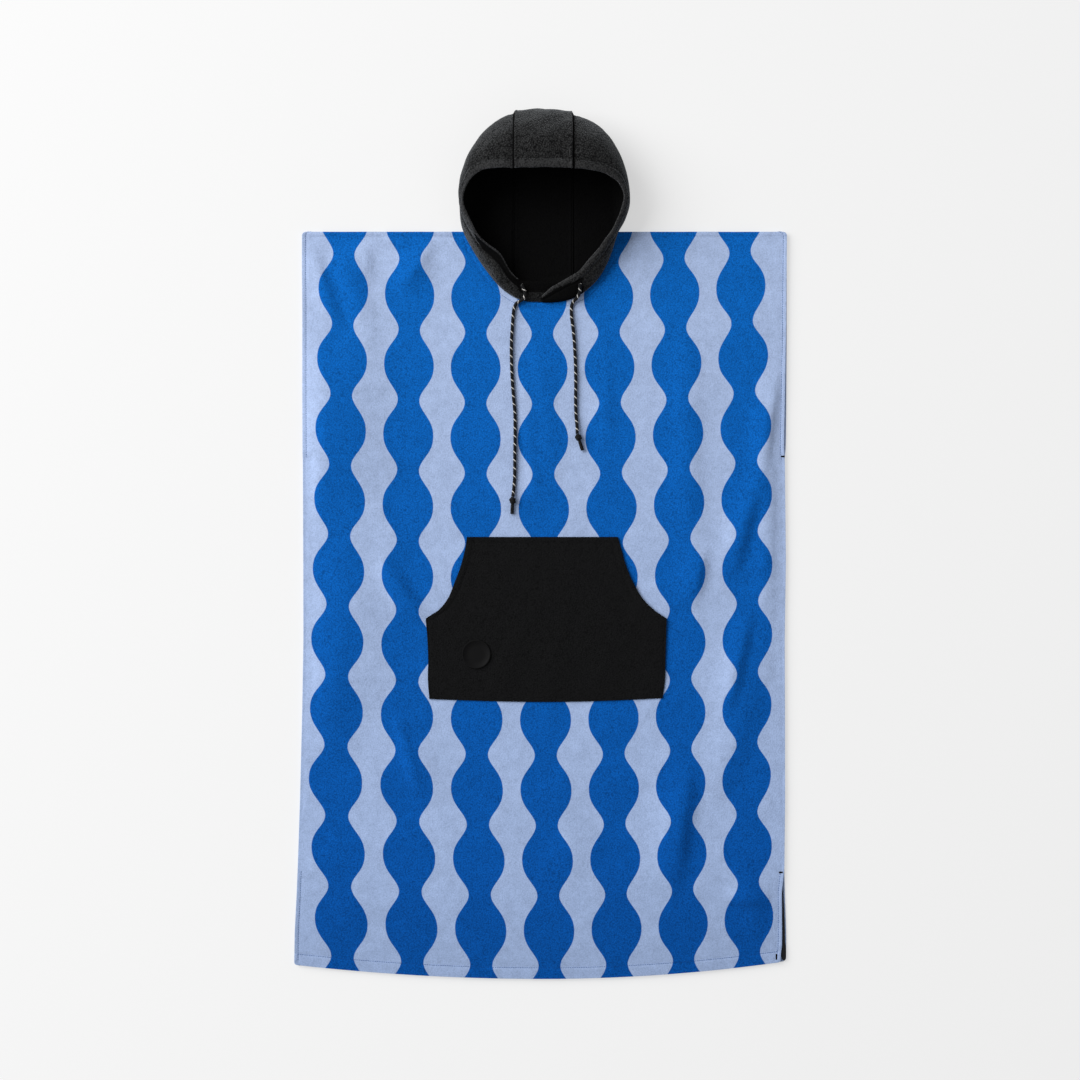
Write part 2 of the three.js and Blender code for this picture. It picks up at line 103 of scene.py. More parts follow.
def spline(points, places):
    # centripetal Catmull-Rom, the same curve as the solids have
    points = np.asarray(points, float)
    ends = np.vstack([2 * points[0] - points[1], points, 2 * points[-1] - points[-2]])
    at = np.asarray(places, float) * (len(points) - 1)
    i = np.clip(np.floor(at).astype(int), 0, len(points) - 2)
    w = (at - i)[:, None]
    p0, p1, p2, p3 = ends[i], ends[i + 1], ends[i + 2], ends[i + 3]
    gap = [np.maximum(((a - b) ** 2).sum(1, keepdims=True) ** 0.25, 1e-4)
           for a, b in ((p0, p1), (p1, p2), (p2, p3))]
    m1 = ((p1 - p0) / gap[0] - (p2 - p0) / (gap[0] + gap[1]) + (p2 - p1) / gap[1]) * gap[1]
    m2 = ((p2 - p1) / gap[1] - (p3 - p1) / (gap[1] + gap[2]) + (p3 - p2) / gap[2]) * gap[1]
    return (p1 + m1 * w + (3 * (p2 - p1) - 2 * m1 - m2) * w ** 2
            + (2 * (p1 - p2) + m1 + m2) * w ** 3)


def unevenness(x, y, seed, shortest, longest, count=26):
    # a sum of waves in all directions, between the shortest and the longest wavelength
    rng = np.random.default_rng(seed)
    total = np.zeros(np.broadcast(x, y).shape)
    for _ in range(count):
        length = shortest * (longest / shortest) ** rng.random()
        angle, phase = rng.random(2) * 2 * math.pi
        way = x * math.cos(angle) + y * math.sin(angle)
        total += length / longest * np.sin(2 * math.pi * way / length + phase)
    return total / math.sqrt(count / 4)


def spread(length, step, near, far=()):
    # distances from an edge: fine ones at the two ends, even ones between
    last = length - (far[-1] if far else 0)
    middle = np.linspace(near[-1], last, max(2, round((last - near[-1]) / step)))
    return np.concatenate([near[:-1], middle, [length - d for d in far[-2::-1]] if far else []])


# Materials

light = {
    "world": 0.35, "floorGlow": 0.54,
    "key": {"at": (-6.0, 3.2, 4.9), "size": 7.0, "power": 1030},
}


def newMaterial(name):
    material = bpy.data.materials.new(name)
    material.use_nodes = True
    tree = material.node_tree
    return material, tree, tree.nodes["Principled BSDF"]


def setInput(tree, socket, value):
    if isinstance(value, bpy.types.NodeSocket):
        tree.links.new(value, socket)
    else:
        socket.default_value = value


def addNode(tree, kind, inputs=None, **settings):
    node = tree.nodes.new(kind)
    for name, value in settings.items():
        setattr(node, name, value)
    for name, value in (inputs or {}).items():
        setInput(tree, node.inputs[name], value)
    return node


def calculate(tree, operation, *values):
    node = addNode(tree, "ShaderNodeMath", operation=operation)
    for socket, value in zip(node.inputs, values):
        setInput(tree, socket, value)
    return node.outputs[0]


def mixColours(tree, amount, first, second, blend="MIX"):
    node = addNode(tree, "ShaderNodeMix", data_type="RGBA", blend_type=blend)
    setInput(tree, node.inputs[0], amount)
    for socket, colour in ((node.inputs[6], first), (node.inputs[7], second)):
        setInput(tree, socket, (*colour, 1) if isinstance(colour, tuple) else colour)
    return node.outputs[2]


def ramp(tree, value, low, high, toLow=0.0, toHigh=1.0):
    node = addNode(tree, "ShaderNodeMapRange", {
        "Value": value, "From Min": low, "From Max": high, "To Min": toLow, "To Max": toHigh})
    return node.outputs["Result"]


def objectPlace(tree):
    return addNode(tree, "ShaderNodeTexCoord").outputs["Object"]


def cutPlace(tree):
    # the place on the piece's own flat cut: X is U, Y is V
    cut = addNode(tree, "ShaderNodeUVMap", uv_map="cut").outputs[0]
    return addNode(tree, "ShaderNodeSeparateXYZ", {"Vector": cut}).outputs


def newGroup(name, inputs, outputs):
    tree = bpy.data.node_groups.new(name, "ShaderNodeTree")
    for socketName, kind, value in inputs:
        socket = tree.interface.new_socket(socketName, in_out="INPUT", socket_type=kind)
        if value is not None:
            socket.default_value = value
    for socketName, kind in outputs:
        tree.interface.new_socket(socketName, in_out="OUTPUT", socket_type=kind)
    return tree, tree.nodes.new("NodeGroupInput"), tree.nodes.new("NodeGroupOutput")


def buildPile():
    # the nap of towelling: tufts, the loops between them and slow patches where it lies over
    tree, start, end = newGroup(
        "pile",
        [("Vector", "NodeSocketVector", None), ("Tufts", "NodeSocketFloat", 600.0),
         ("Patches", "NodeSocketFloat", 60.0)],
        [("Height", "NodeSocketFloat"), ("Tone", "NodeSocketFloat"), ("Patch", "NodeSocketFloat")],
    )
    vector, tufts = start.outputs["Vector"], start.outputs["Tufts"]
    tuft = addNode(tree, "ShaderNodeTexVoronoi", {"Vector": vector, "Scale": tufts}, feature="F1")
    finer = calculate(tree, "MULTIPLY", tufts, 1.7)
    fibre = addNode(tree, "ShaderNodeTexNoise", {
        "Vector": vector, "Scale": finer, "Detail": 3.0, "Roughness": 0.6})
    patch = addNode(tree, "ShaderNodeTexNoise", {
        "Vector": vector, "Scale": start.outputs["Patches"], "Detail": 4.0, "Roughness": 0.6})
    crown = calculate(tree, "SUBTRACT", 1.0, tuft.outputs["Distance"])
    loose = calculate(tree, "MULTIPLY", fibre.outputs[0], 0.7)
    height = calculate(tree, "MULTIPLY_ADD", crown, 0.6, loose)
    tree.links.new(height, end.inputs["Height"])
    tree.links.new(ramp(tree, height, 0.35, 1.05), end.inputs["Tone"])
    tree.links.new(ramp(tree, patch.outputs[0], 0.3, 0.7), end.inputs["Patch"])
    return tree


pileGroup = buildPile()


def addPile(tree, vector, tufts, patches):
    node = addNode(tree, "ShaderNodeGroup", node_tree=pileGroup)
    setInput(tree, node.inputs["Vector"], vector)
    node.inputs["Tufts"].default_value = tufts
    node.inputs["Patches"].default_value = patches
    return node.outputs


def addBump(tree, shader, height, strength, distance):
    bump = addNode(tree, "ShaderNodeBump", {
        "Height": height, "Strength": strength, "Distance": distance * mm})
    tree.links.new(bump.outputs[0], shader.inputs["Normal"])


def setCloth(shader, roughness, sheen, sheenRoughness, tint, specular=0.2):
    shader.inputs["Roughness"].default_value = roughness
    shader.inputs["Sheen Weight"].default_value = sheen
    shader.inputs["Sheen Roughness"].default_value = sheenRoughness
    shader.inputs["Sheen Tint"].default_value = (*tint, 1)
    shader.inputs["Specular IOR Level"].default_value = specular


printed = {
    "pitch": 101.7, "repeat": 105.2, "firstBulge": 71.9, "columns": 3.5,
    "halfWidth": 27.2, "swing": 10.7, "fullness": 2.7, "edge": 0.35, "ragged": 0.8,
    # the second blue and pale colours are painted shade: the print's colours darkened for the lower
    # garment
    "blue": (0.0034, 0.118, 0.465), "paintedShadeBlue": (0.0022, 0.080, 0.36),
    "light": (0.368, 0.465, 0.69), "paintedShadeGround": (0.325, 0.425, 0.655),
    "tufts": 460.0, "patches": 75.0, "darkest": -0.45, "lightest": 0.41, "lightContrast": 0.38,
    # hemShade is how far the painted shade darkens the stretch just above the hem
    "patchSwing": 0.08, "hemShade": 0.9,
}


def stripeMask(tree, place, pile):
    # 1 on the bulging blue columns and 0 between them, ragged where the tufts cross an edge
    across = calculate(tree, "MULTIPLY_ADD", place["X"], 1 / (printed["pitch"] * mm), 0.5)
    inColumn = calculate(tree, "SUBTRACT", calculate(tree, "FRACT", across), 0.5)
    distance = calculate(tree, "MULTIPLY", calculate(tree, "ABSOLUTE", inColumn), printed["pitch"])
    turn = 2 * math.pi / (printed["repeat"] * mm)
    phase = math.pi - turn * printed["firstBulge"] * mm
    wave = calculate(tree, "COSINE", calculate(tree, "MULTIPLY_ADD", place["Y"], turn, phase))
    square = calculate(tree, "MULTIPLY", wave, wave)
    widest = printed["halfWidth"] + printed["fullness"]
    width = calculate(tree, "MULTIPLY_ADD", wave, -printed["swing"], widest)
    width = calculate(tree, "MULTIPLY_ADD", square, -printed["fullness"], width)
    ragged = calculate(tree, "MULTIPLY_ADD", pile["Tone"], printed["ragged"], -printed["ragged"] / 2)
    inside = calculate(tree, "ADD", calculate(tree, "SUBTRACT", width, distance), ragged)
    column = calculate(tree, "ABSOLUTE", calculate(tree, "SUBTRACT", across, 0.5))
    within = calculate(tree, "SUBTRACT", printed["columns"], column)
    inside = calculate(tree, "MINIMUM", inside, calculate(tree, "MULTIPLY", within, 100.0))
    return ramp(tree, inside, -printed["edge"], printed["edge"])


def printedTowelling():
    # stripes printed along the cloth, read from the flat cut: U across it, V up from the hem
    material, tree, shader = newMaterial("printedTowelling")
    place = cutPlace(tree)
    pile = addPile(tree, objectPlace(tree), printed["tufts"], printed["patches"])
    blue = stripeMask(tree, place, pile)
    # painted shade: both colours of the print grow darker down the garment towards the hem, standing in
    # for the light falling off
    down = ramp(tree, place["Y"], 1.0, 0.1)
    ground = mixColours(tree, down, printed["light"], printed["paintedShadeGround"])
    stripe = mixColours(tree, down, printed["blue"], printed["paintedShadeBlue"])
    colour = mixColours(tree, blue, ground, stripe)
    least = printed["lightContrast"]
    contrast = calculate(tree, "MULTIPLY_ADD", blue, 1 - least, least)
    tone = ramp(tree, pile["Tone"], 0.0, 1.0, printed["darkest"], printed["lightest"])
    tone = calculate(tree, "MULTIPLY", tone, contrast)
    patch = ramp(tree, pile["Patch"], 0.0, 1.0, 1 - printed["patchSwing"], 1 + printed["patchSwing"])
    # painted shade: the last stretch above the hem is darkened further
    towardsHem = ramp(tree, place["Y"], 0.17, 0.03, 1.0, printed["hemShade"])
    patch = calculate(tree, "MULTIPLY", patch, towardsHem)
    shade = calculate(tree, "MULTIPLY", calculate(tree, "ADD", tone, 1.0), patch)
    grey = addNode(tree, "ShaderNodeCombineColor", {"Red": shade, "Green": shade, "Blue": shade})
    colour = mixColours(tree, 1.0, colour, grey.outputs[0], blend="MULTIPLY")
    tree.links.new(colour, shader.inputs["Base Color"])
    setCloth(shader, 0.92, 0.05, 0.5, (0.5, 0.75, 1.0), 0.03)
    addBump(tree, shader, pile["Height"], 0.55, 0.7)
    return material


def blackTowelling(name, colour, sheen, contrast=1.6, tufts=520.0, paintedHighlight=None, crisp=0.0, relief=1.1):
    material, tree, shader = newMaterial(name)
    pile = addPile(tree, objectPlace(tree), tufts, 90.0)
    low = tuple(c / contrast ** 1.5 for c in colour)
    high = tuple(contrast * c for c in colour)
    fine = calculate(tree, "MULTIPLY", pile["Tone"], 0.88)
    tone = calculate(tree, "MULTIPLY_ADD", pile["Patch"], 0.12, fine)
    shade = mixColours(tree, ramp(tree, tone, crisp, 1 - 0.5 * crisp), low, high)
    if paintedHighlight:
        # painted highlight: the colour is paler along the turned rim, following the pile; painted shade:
        # it goes near black where a flap is tucked in, where the wall turns under and along the seams
        rim = addNode(tree, "ShaderNodeAttribute", attribute_name="rim").outputs["Fac"]
        paintedHighlightAmount = calculate(tree, "MULTIPLY", rim, ramp(tree, pile["Tone"], 0.1, 0.7, 0.25, 1.0))
        shade = mixColours(tree, paintedHighlightAmount, shade, paintedHighlight)
        paintedShade = addNode(tree, "ShaderNodeAttribute", attribute_name="paintedShade").outputs["Fac"]
        shade = mixColours(tree, paintedShade, shade, (0.0012, 0.0012, 0.0013))
    tree.links.new(shade, shader.inputs["Base Color"])
    setCloth(shader, 0.95, sheen, 0.45, (0.9, 0.95, 1.0), 0.06)
    addBump(tree, shader, pile["Height"], 0.8, relief)
    return material


def threadMaterial(name, colour):
    material, tree, shader = newMaterial(name)
    twist = addNode(tree, "ShaderNodeTexWave", {
        "Vector": objectPlace(tree), "Scale": 900.0, "Distortion": 2.0}, bands_direction="DIAGONAL")
    low = tuple(0.7 * c for c in colour)
    tree.links.new(mixColours(tree, twist.outputs["Fac"], low, colour), shader.inputs["Base Color"])
    setCloth(shader, 0.8, 0.02, 0.4, (1, 1, 1), 0.05)
    addBump(tree, shader, twist.outputs["Fac"], 0.3, 0.1)
    return material


cordLook = {"diameter": 5, "fleckPitch": 12, "fleckWidth": 0.13, "strandPitch": 2.1, "strands": 8.0}


def cordMaterial(name, flecked):
    # braided sheath with one pale tracer that goes round it; U runs along the cord, V round it
    material, tree, shader = newMaterial(name)
    place = cutPlace(tree)
    along = calculate(tree, "DIVIDE", place["X"], cordLook["strandPitch"] * mm)
    around = calculate(tree, "MULTIPLY", place["Y"], cordLook["strands"])
    braid = []
    for way in ("ADD", "SUBTRACT"):
        turn = calculate(tree, "MULTIPLY", calculate(tree, way, along, around), math.pi)
        braid.append(calculate(tree, "SINE", turn))
    height = calculate(tree, "ABSOLUTE", calculate(tree, "MULTIPLY", *braid))
    # painted shade and highlight: the braid is darker in its grooves and lighter on its crests
    colour = mixColours(tree, height, (0.0025, 0.0025, 0.003), (0.010, 0.010, 0.011))
    if flecked:
        pitches = calculate(tree, "DIVIDE", place["X"], cordLook["fleckPitch"] * mm)
        helix = calculate(tree, "FRACT", calculate(tree, "SUBTRACT", pitches, place["Y"]))
        off = calculate(tree, "ABSOLUTE", calculate(tree, "SUBTRACT", helix, 0.5))
        half = cordLook["fleckWidth"] / 2
        fleck = ramp(tree, off, half + 0.02, half - 0.02)
        # the tracer too is painted darker in the grooves and lighter on the crests
        pale = mixColours(tree, height, (0.42, 0.41, 0.39), (0.72, 0.71, 0.68))
        colour = mixColours(tree, fleck, colour, pale)
    tree.links.new(colour, shader.inputs["Base Color"])
    setCloth(shader, 0.75, 0.04, 0.4, (1, 1, 1), 0.15)
    addBump(tree, shader, height, 0.7, 0.5)
    return material


def rubberMaterial():
    material, tree, shader = newMaterial("patchRubber")
    place = objectPlace(tree)
    grain = addNode(tree, "ShaderNodeTexNoise", {"Vector": place, "Scale": 1600.0, "Detail": 3.0})
    smear = addNode(tree, "ShaderNodeTexNoise", {"Vector": place, "Scale": 90.0, "Detail": 3.0})
    colour = mixColours(tree, smear.outputs[0], (0.0022, 0.0022, 0.0024), (0.004, 0.004, 0.0044))
    tree.links.new(colour, shader.inputs["Base Color"])
    shader.inputs["Specular IOR Level"].default_value = 0.1
    tree.links.new(ramp(tree, smear.outputs[0], 0.3, 0.7, 0.62, 0.75), shader.inputs["Roughness"])
    addBump(tree, shader, grain.outputs[0], 0.25, 0.15)
    return material


def tapeMaterial():
    material, tree, shader = newMaterial("slitTape")
    weave = addNode(tree, "ShaderNodeTexWave", {
        "Vector": objectPlace(tree), "Scale": 420.0, "Distortion": 0.4}, bands_direction="Y")
    colour = mixColours(tree, weave.outputs["Fac"], (0.004, 0.004, 0.0045), (0.014, 0.014, 0.016))
    tree.links.new(colour, shader.inputs["Base Color"])
    setCloth(shader, 0.8, 0.15, 0.4, (1, 1, 1))
    addBump(tree, shader, weave.outputs["Fac"], 0.6, 0.3)
    return material


def floorMaterial():
    material, _, shader = newMaterial("paleFloor")
    shader.inputs["Base Color"].default_value = (0.34, 0.34, 0.34, 1)
    shader.inputs["Emission Color"].default_value = (1, 1, 1, 1)
    shader.inputs["Emission Strength"].default_value = light["floorGlow"]
    shader.inputs["Roughness"].default_value = 0.9
    shader.inputs["Specular IOR Level"].default_value = 0.1
    return material


printedCloth = printedTowelling()
# the hood cloth's extra pale colour is the painted highlight along its turned rim
hoodCloth = blackTowelling("hoodTowelling", (0.0102, 0.0103, 0.0104), sheen=0.22, contrast=4.4,
                           tufts=440.0, paintedHighlight=(0.036, 0.036, 0.037), crisp=0.26, relief=2.0)
# a darker copy of the same black towelling: painted shade for the inside of the hood, its shaded folds and
# its inner seams
hoodShadedCopy = blackTowelling("hoodPaintedShadeCopy", (0.0022, 0.0022, 0.0023), sheen=0.0)
pocketCloth = blackTowelling("pocketTowelling", (0.0058, 0.0059, 0.0062), sheen=0.02, contrast=1.9)
blueThread = threadMaterial("blueThread", (0.005, 0.06, 0.25))
blackThread = threadMaterial("blackThread", (0.006, 0.006, 0.0065))
fleckedCord = cordMaterial("fleckedCord", True)
plainCord = cordMaterial("plainCord", False)
rubber = rubberMaterial()
tapeWeave = tapeMaterial()
print("materials made")

# The cloth that every piece is cut from, as the solids have it
cloth = {"wall": 2.4, "seamGap": 0.3, "roundness": 0.9}
backLayer = cloth["wall"] / 2
frontLayer = backLayer + cloth["wall"] + cloth["seamGap"]
frontTop = frontLayer + cloth["wall"] / 2

# Body

body = {
    "shoulderY": 471, "hemY": -648, "hemX": 4, "hemHalfWidth": 362, "hemRiseLeft": 20,
    "hemRiseRight": 26, "sideWidth": 249,
    "neckHalfWidth": 113, "frontDepth": 106.5, "backDepth": 75,
    "hemStitch": 16.5, "sideStitch": 5.4, "neckStitch": 7, "armEnd": 131, "slitTop": -488,
    "topCorner": 6, "hemCorner": 4, "leftHemY": -627.2, "rightHemY": -621.8,
    "step": 5.6, "backStep": 14, "hemRidge": 0.55, "stitchDip": 0.7, "sideSeam": 0.9, "sideSeamAt": 3.8,
    "neckRidge": 0.8, "neckDip": 0.9, "heldWidth": 24, "unevenness": 0.35, "pucker": 0.12,
}
# y, left edge, right edge, how far the front panel stands back on the right
sideRows = np.array([
    [471, -357.3, 369.2, 0], [309, -356.6, 369.0, 1.4], [200, -356.2, 368.4, 2.8],
    [150, -356.0, 367.8, 3.2], [129, -356.0, 366.0, 0], [-20, -355.4, 367.6, 0],
    [-140, -355.2, 365.8, 0], [-240, -356.8, 366.2, 0], [-380, -360.3, 366.4, 0], [-480, -363.6, 365.4, 0],
    [-520, -365.2, 366.4, 5.0], [-580, -368.2, 368.4, 6.6], [-600, -368.5, 368.4, 7.0],
    [-608, -368.6, 368.4, 8.4], [-648, -369.0, 368.0, 8.6],
])[::-1]
# Soft folds of the front panel: from x, y to x, y, width, height
foldRows = [
    [-333, 345, -328, 20, 21, 4.6], [-300, 452, -252, 290, 19, 4.2],
    [-160, 452, -205, 366, 16, 3.2], [-8, 330, 20, 60, 17, 2.2],
    [216, 330, 225, -30, 22, 4.2], [340, 200, 336, -145, 17, 4.2],
    [338, -130, 255, -390, 24, 4.0], [-240, -10, -196, -112, 17, 3.2],
    [-205, -250, -152, -390, 21, 3.2], [296, -470, 330, -585, 20, 2.6],
    [-318, -130, -308, -330, 24, 3.4], [30, -320, 52, -540, 26, 2.2],
]
# Sharper creases: from x, y to x, y, width on the left, width on the right, height
creaseRows = [
    [-346, 456, -300, 318, 20, 9, 5.4], [-300, 340, -298, 30, 42, 60, 10.0],
    [-298, 70, -294, -280, 42, 60, 7.0], [-262, 458, -258, 398, 26, 7, 3.6],
    [-158, 462, -214, 378, 22, 8, 4.6], [-203, 468, -208, 446, 8, 5, 1.6],
    [-228, 467, -226, 448, 7, 5, 1.4], [150, 467, 142, 436, 9, 6, 1.6],
    [226, 468, 222, 440, 9, 6, 1.6], [354, 260, 326, 84, 22, 8, 6.4],
    [328, 112, 284, -52, 24, 9, 7.6], [246, 4, 224, -96, 26, 10, 7.0],
    [314, -92, 276, -264, 20, 9, 7.6], [226, -308, 196, -528, 34, 13, 8.5],
    [268, -526, 346, -532, 8, 14, 4.4], [-240, -22, -172, -112, 12, 9, 4.2],
    [-219, -236, -176, -390, 10, 8, 4.0], [-30, 275, -2, 30, 11, 8, 2.6],
    [98, 330, 100, 118, 14, 9, 1.8], [-330, -520, -250, -560, 12, 10, 2.0],
]
# Where the first, middle and last blue columns lie across the laid garment: y, x, x, x
stripeRows = np.array([
    [425.8, -294.4, 2.2, 298.9], [159.2, -298.9, 3.7, 307.8], [-95.5, -303.4, 6.7, 310.1],
    [-359.0, -307.1, 8.2, 308.6], [-604.8, -296.6, 13.5, 313.1],
])[::-1]


def hemLine(x):
    t = (x - body["hemX"]) / body["hemHalfWidth"]
    return body["hemY"] + np.where(t < 0, body["hemRiseLeft"], body["hemRiseRight"]) * t * t


def neckLine(x, depth):
    t = np.clip(np.abs(x) / body["neckHalfWidth"], 0, 1)
    left = 1 - t ** 2.4
    right = (1 - t ** 3) ** 0.68
    return body["shoulderY"] - depth * np.where(x < 0, left, right)


def ridgeHeight(rows, x, y, roundness):
    # the summed height of ridges along straight lines, each with a width on its left and on its right
    height = np.zeros(np.broadcast(x, y).shape)
    for x0, y0, x1, y1, *widths, rise in rows:
        length = math.hypot(x1 - x0, y1 - y0)
        t = np.clip(((x - x0) * (x1 - x0) + (y - y0) * (y1 - y0)) / length ** 2, 0, 1)
        away = ((x - x0) * (y1 - y0) - (y - y0) * (x1 - x0)) / length
        width = np.where(away > 0, widths[0], widths[-1])
        height += rise * np.sin(math.pi * t) ** roundness * np.exp(-((away / width) ** 2))
    return height


def foldHeight(x, y):
    return ridgeHeight(foldRows, x, y, 0.8)


def cornerInset(distance, radius):
    d = np.clip(distance, 0, radius)
    return radius - np.sqrt(radius ** 2 - (radius - d) ** 2)


def edgeX(y, side, inset):
    corner = cornerInset(body["shoulderY"] - y, body["topCorner"])
    corner = corner + cornerInset(y - body[side + "HemY"], body["hemCorner"])
    if side == "left":
        return np.interp(y, sideRows[:, 0], sideRows[:, 1]) + corner
    right = np.interp(y, sideRows[:, 0], sideRows[:, 2]) - corner
    return right - inset * np.interp(y, sideRows[:, 0], sideRows[:, 3])


def panelPlaces(depth, inset, step, fine):
    half = body["neckHalfWidth"]
    side = spread(body["sideWidth"], step, fine)[:-1]
    share = 1 - side / body["sideWidth"]
    neckCount = round(2 * half / step * 1.1)
    neckX = -half * np.cos(np.linspace(0, math.pi, neckCount + 1))
    baseX = np.concatenate([np.full(len(side), -half), neckX, np.full(len(side), half)])
    toEdge = np.concatenate([share, np.zeros(len(neckX)), share[::-1]])
    length = body["shoulderY"] - body["hemY"]
    v = spread(length, step, fine, fine)[:, None] / length
    top = neckLine(baseX, depth)
    edgeHem = np.where(baseX < 0, body["leftHemY"], body["rightHemY"])
    y = body["shoulderY"] + (edgeHem - body["shoulderY"]) * v
    edge = np.where(baseX < 0, edgeX(y, "left", inset), edgeX(y, "right", inset))
    x = baseX + toEdge * (edge - baseX)
    y = top + (hemLine(x) - top) * v
    return x, y


def printPlaces(x, y):
    # U is the place across the print, from its columns; V is the place up from the hem. The outer
    # columns are three from the middle one, so x is a quadratic in the column, which is solved here.
    first, middle, last = (np.interp(y, stripeRows[:, 0], stripeRows[:, k]) for k in (1, 2, 3))
    slope = (last - first) / 6
    bend = (last + first - 2 * middle) / 18
    root = np.sqrt(np.maximum(slope ** 2 + 4 * bend * (x - middle), 1))
    column = 2 * (x - middle) / (slope + root)
    return np.stack([column * printed["pitch"], y - hemLine(x)], -1).reshape(-1, 2) * mm


def stitchedBand(distance, stitch, ridge, dip, width=1.8):
    # a hem's height at a distance from its edge: raised up to the stitching, and pulled down along it
    band = ridge * smooth((stitch - distance) / 1.5 + 0.5)
    return band - dip * np.exp(-(((distance - stitch) / width) ** 2))


def openEdge(y):
    # 1 beside the arm openings and the slits, where the side edges are hemmed and not sewn together
    return smooth((y - body["armEnd"]) / 6) + smooth((body["slitTop"] - y) / 6)


def frontHeight(x, y):
    # the sewn stretches of the sides hold the two panels together, so no fold lifts them there
    fromHem = y - hemLine(x)
    fromLeft = x - edgeX(y, "left", 1)
    fromRight = edgeX(y, "right", 1) - x
    fromSide = np.minimum(fromLeft, fromRight)
    held = (1 - openEdge(y)) * (1 - smooth(fromSide / body["heldWidth"]))
    z = (foldHeight(x, y) + ridgeHeight(creaseRows, x, y, 1)) * (1 - held)
    z += stitchedBand(fromHem, body["hemStitch"], body["hemRidge"], body["stitchDip"])
    for distance in (fromLeft, fromRight):
        hem = stitchedBand(distance, body["sideStitch"], body["hemRidge"], body["stitchDip"])
        groove = body["sideSeam"] * np.exp(-(((distance - body["sideSeamAt"]) / 1.2) ** 2))
        z += openEdge(y) * hem
        z -= (1 - openEdge(y)) * groove
    slope = (neckLine(x + 1, body["frontDepth"]) - neckLine(x - 1, body["frontDepth"])) / 2
    fromNeck = (neckLine(x, body["frontDepth"]) - y) / np.sqrt(1 + slope ** 2)
    z += stitchedBand(fromNeck, body["neckStitch"], body["neckRidge"], body["neckDip"], 1.9)
    inner = np.minimum.reduce([fromHem, fromLeft, fromRight, np.full_like(x, 60.0)])
    waves = 1.1 + unevenness(x, y, 3, 28, 120) + 0.35 * unevenness(x, y, 8, 9, 26)
    z += body["unevenness"] * (0.35 + 0.65 * smooth(inner / 50)) * waves
    pucker = np.sin(x / 3.1 + 2 * np.sin(x / 23)) * np.exp(-(((fromHem - 9) / 6) ** 2))
    return np.maximum(z + body["pucker"] * pucker, 0)


def bodyPanel(name, depth, inset, layer, step, height):
    fine = [0, 0.8, 2, 3.8, 5.4, 7, 9.5, 12.5, 15, 16.5, 18, 21] if step < 8 else [0, 3, 8]
    x, y = panelPlaces(depth, inset, step, fine)
    z = layer + height(x, y)
    points = np.stack([x, y, z], -1).reshape(-1, 3)
    piece = makeMesh(name, points, gridFaces(*x.shape).tolist(), printedCloth, uv=printPlaces(x, y))
    giveWall(piece)
    return piece


frontPanel = bodyPanel("frontPanel", body["frontDepth"], 1, frontLayer, body["step"], frontHeight)
backPanel = bodyPanel("backPanel", body["backDepth"], 0, backLayer, body["backStep"],
                      lambda x, y: 0 * x)
print("body panels made")

# Hood

hood = {
    "seamGroove": 0.85, "seamWidth": 1.1, "seamRidge": 1.5, "seamRidgeAt": 3.2, "sideStep": 3.0,
    "stepWidth": 7, "pucker": 1.1, "unevenness": 0.5, "middle": (4.5, 525, 20), "crownY": 540,
    "hemWidth": 12, "hemSwell": 1.7, "hemFuzz": 0.25, "stitchDip": 0.9, "neckSeam": 4.5, "neckDip": 0.5,
    # after the two flats, these lines set painted shade: its strength on the flaps, where the wall turns
    # under, and along the seams
    "flatLeft": 1.1, "flatRight": 0.8, "paintedShadeScale": 0.85, "underFlapPaintedShade": 0.7, "underEdge": 0.35,
    "underShade": 0.6, "underFrom": 0.5, "underTo": 8, "seamShade": 0.85, "shadeWidth": 1.5,
    "firstGap": 34, "capSteps": 5, "floorSteps": 12, "sectionSteps": 26, "rowSteps": 7,
}
offHem = 9.0  # the floor's distance from the rim, in widths of the turned hem
remote = 99.0
# Sections from the crown strip's seam round to the front: rim, top, widest and foot
crownRows = np.array([
    [[-39.5, 557.5, 86], [-39.5, 604, 83], [-39.5, 643.5, 45], [-39.5, 614, 1.2]],
    [[4.5, 557.5, 89], [4.5, 607, 87], [4.5, 648, 45], [4.5, 618, 1.2]],
    [[48.5, 556.5, 86], [48.5, 604, 83], [48.5, 642, 45], [48.5, 614, 1.2]],
])
leftRows = np.array([
    crownRows[0],
    [[-64, 557, 83], [-72, 593, 80], [-80, 617.5, 45], [-68, 596, 1.2]],
    [[-90, 553.5, 75], [-102, 568, 70], [-109.5, 574, 43], [-92, 562, 1.2]],
    [[-110, 532, 65], [-117, 533, 57], [-119.6, 532, 36], [-102, 528, 1.2]],
    [[-114.5, 507, 58], [-118.4, 504, 46], [-118.6, 502, 27], [-106, 498, 1.2]],
    [[-102, 476, 50], [-112, 473.5, 36], [-114.6, 472, 17], [-109.4, 470.4, 4.3]],
    [[-80, 449.5, 40], [-92.5, 445, 28], [-98, 440, 14], [-95.5, 438.4, 4.6]],
    [[-60, 432.5, 33], [-66, 413, 26], [-64, 393.5, 12], [-62, 392.4, 4.6]],
    [[-42, 406, 21], [-44, 393, 18], [-42, 376.2, 10.4], [-40, 374.6, 4.6]],
    [[-29, 397, 13], [-28, 385, 12], [-26, 369.4, 8], [-25, 369.4, 4.2]],
    [[8, 394, 10.6], [6, 382, 8.4], [4, 369, 5.2], [4, 367, 3.95]],
    [[30, 392, 9.4], [29, 382, 7.8], [28, 370.5, 5.0], [28, 368.4, 3.95]],
])
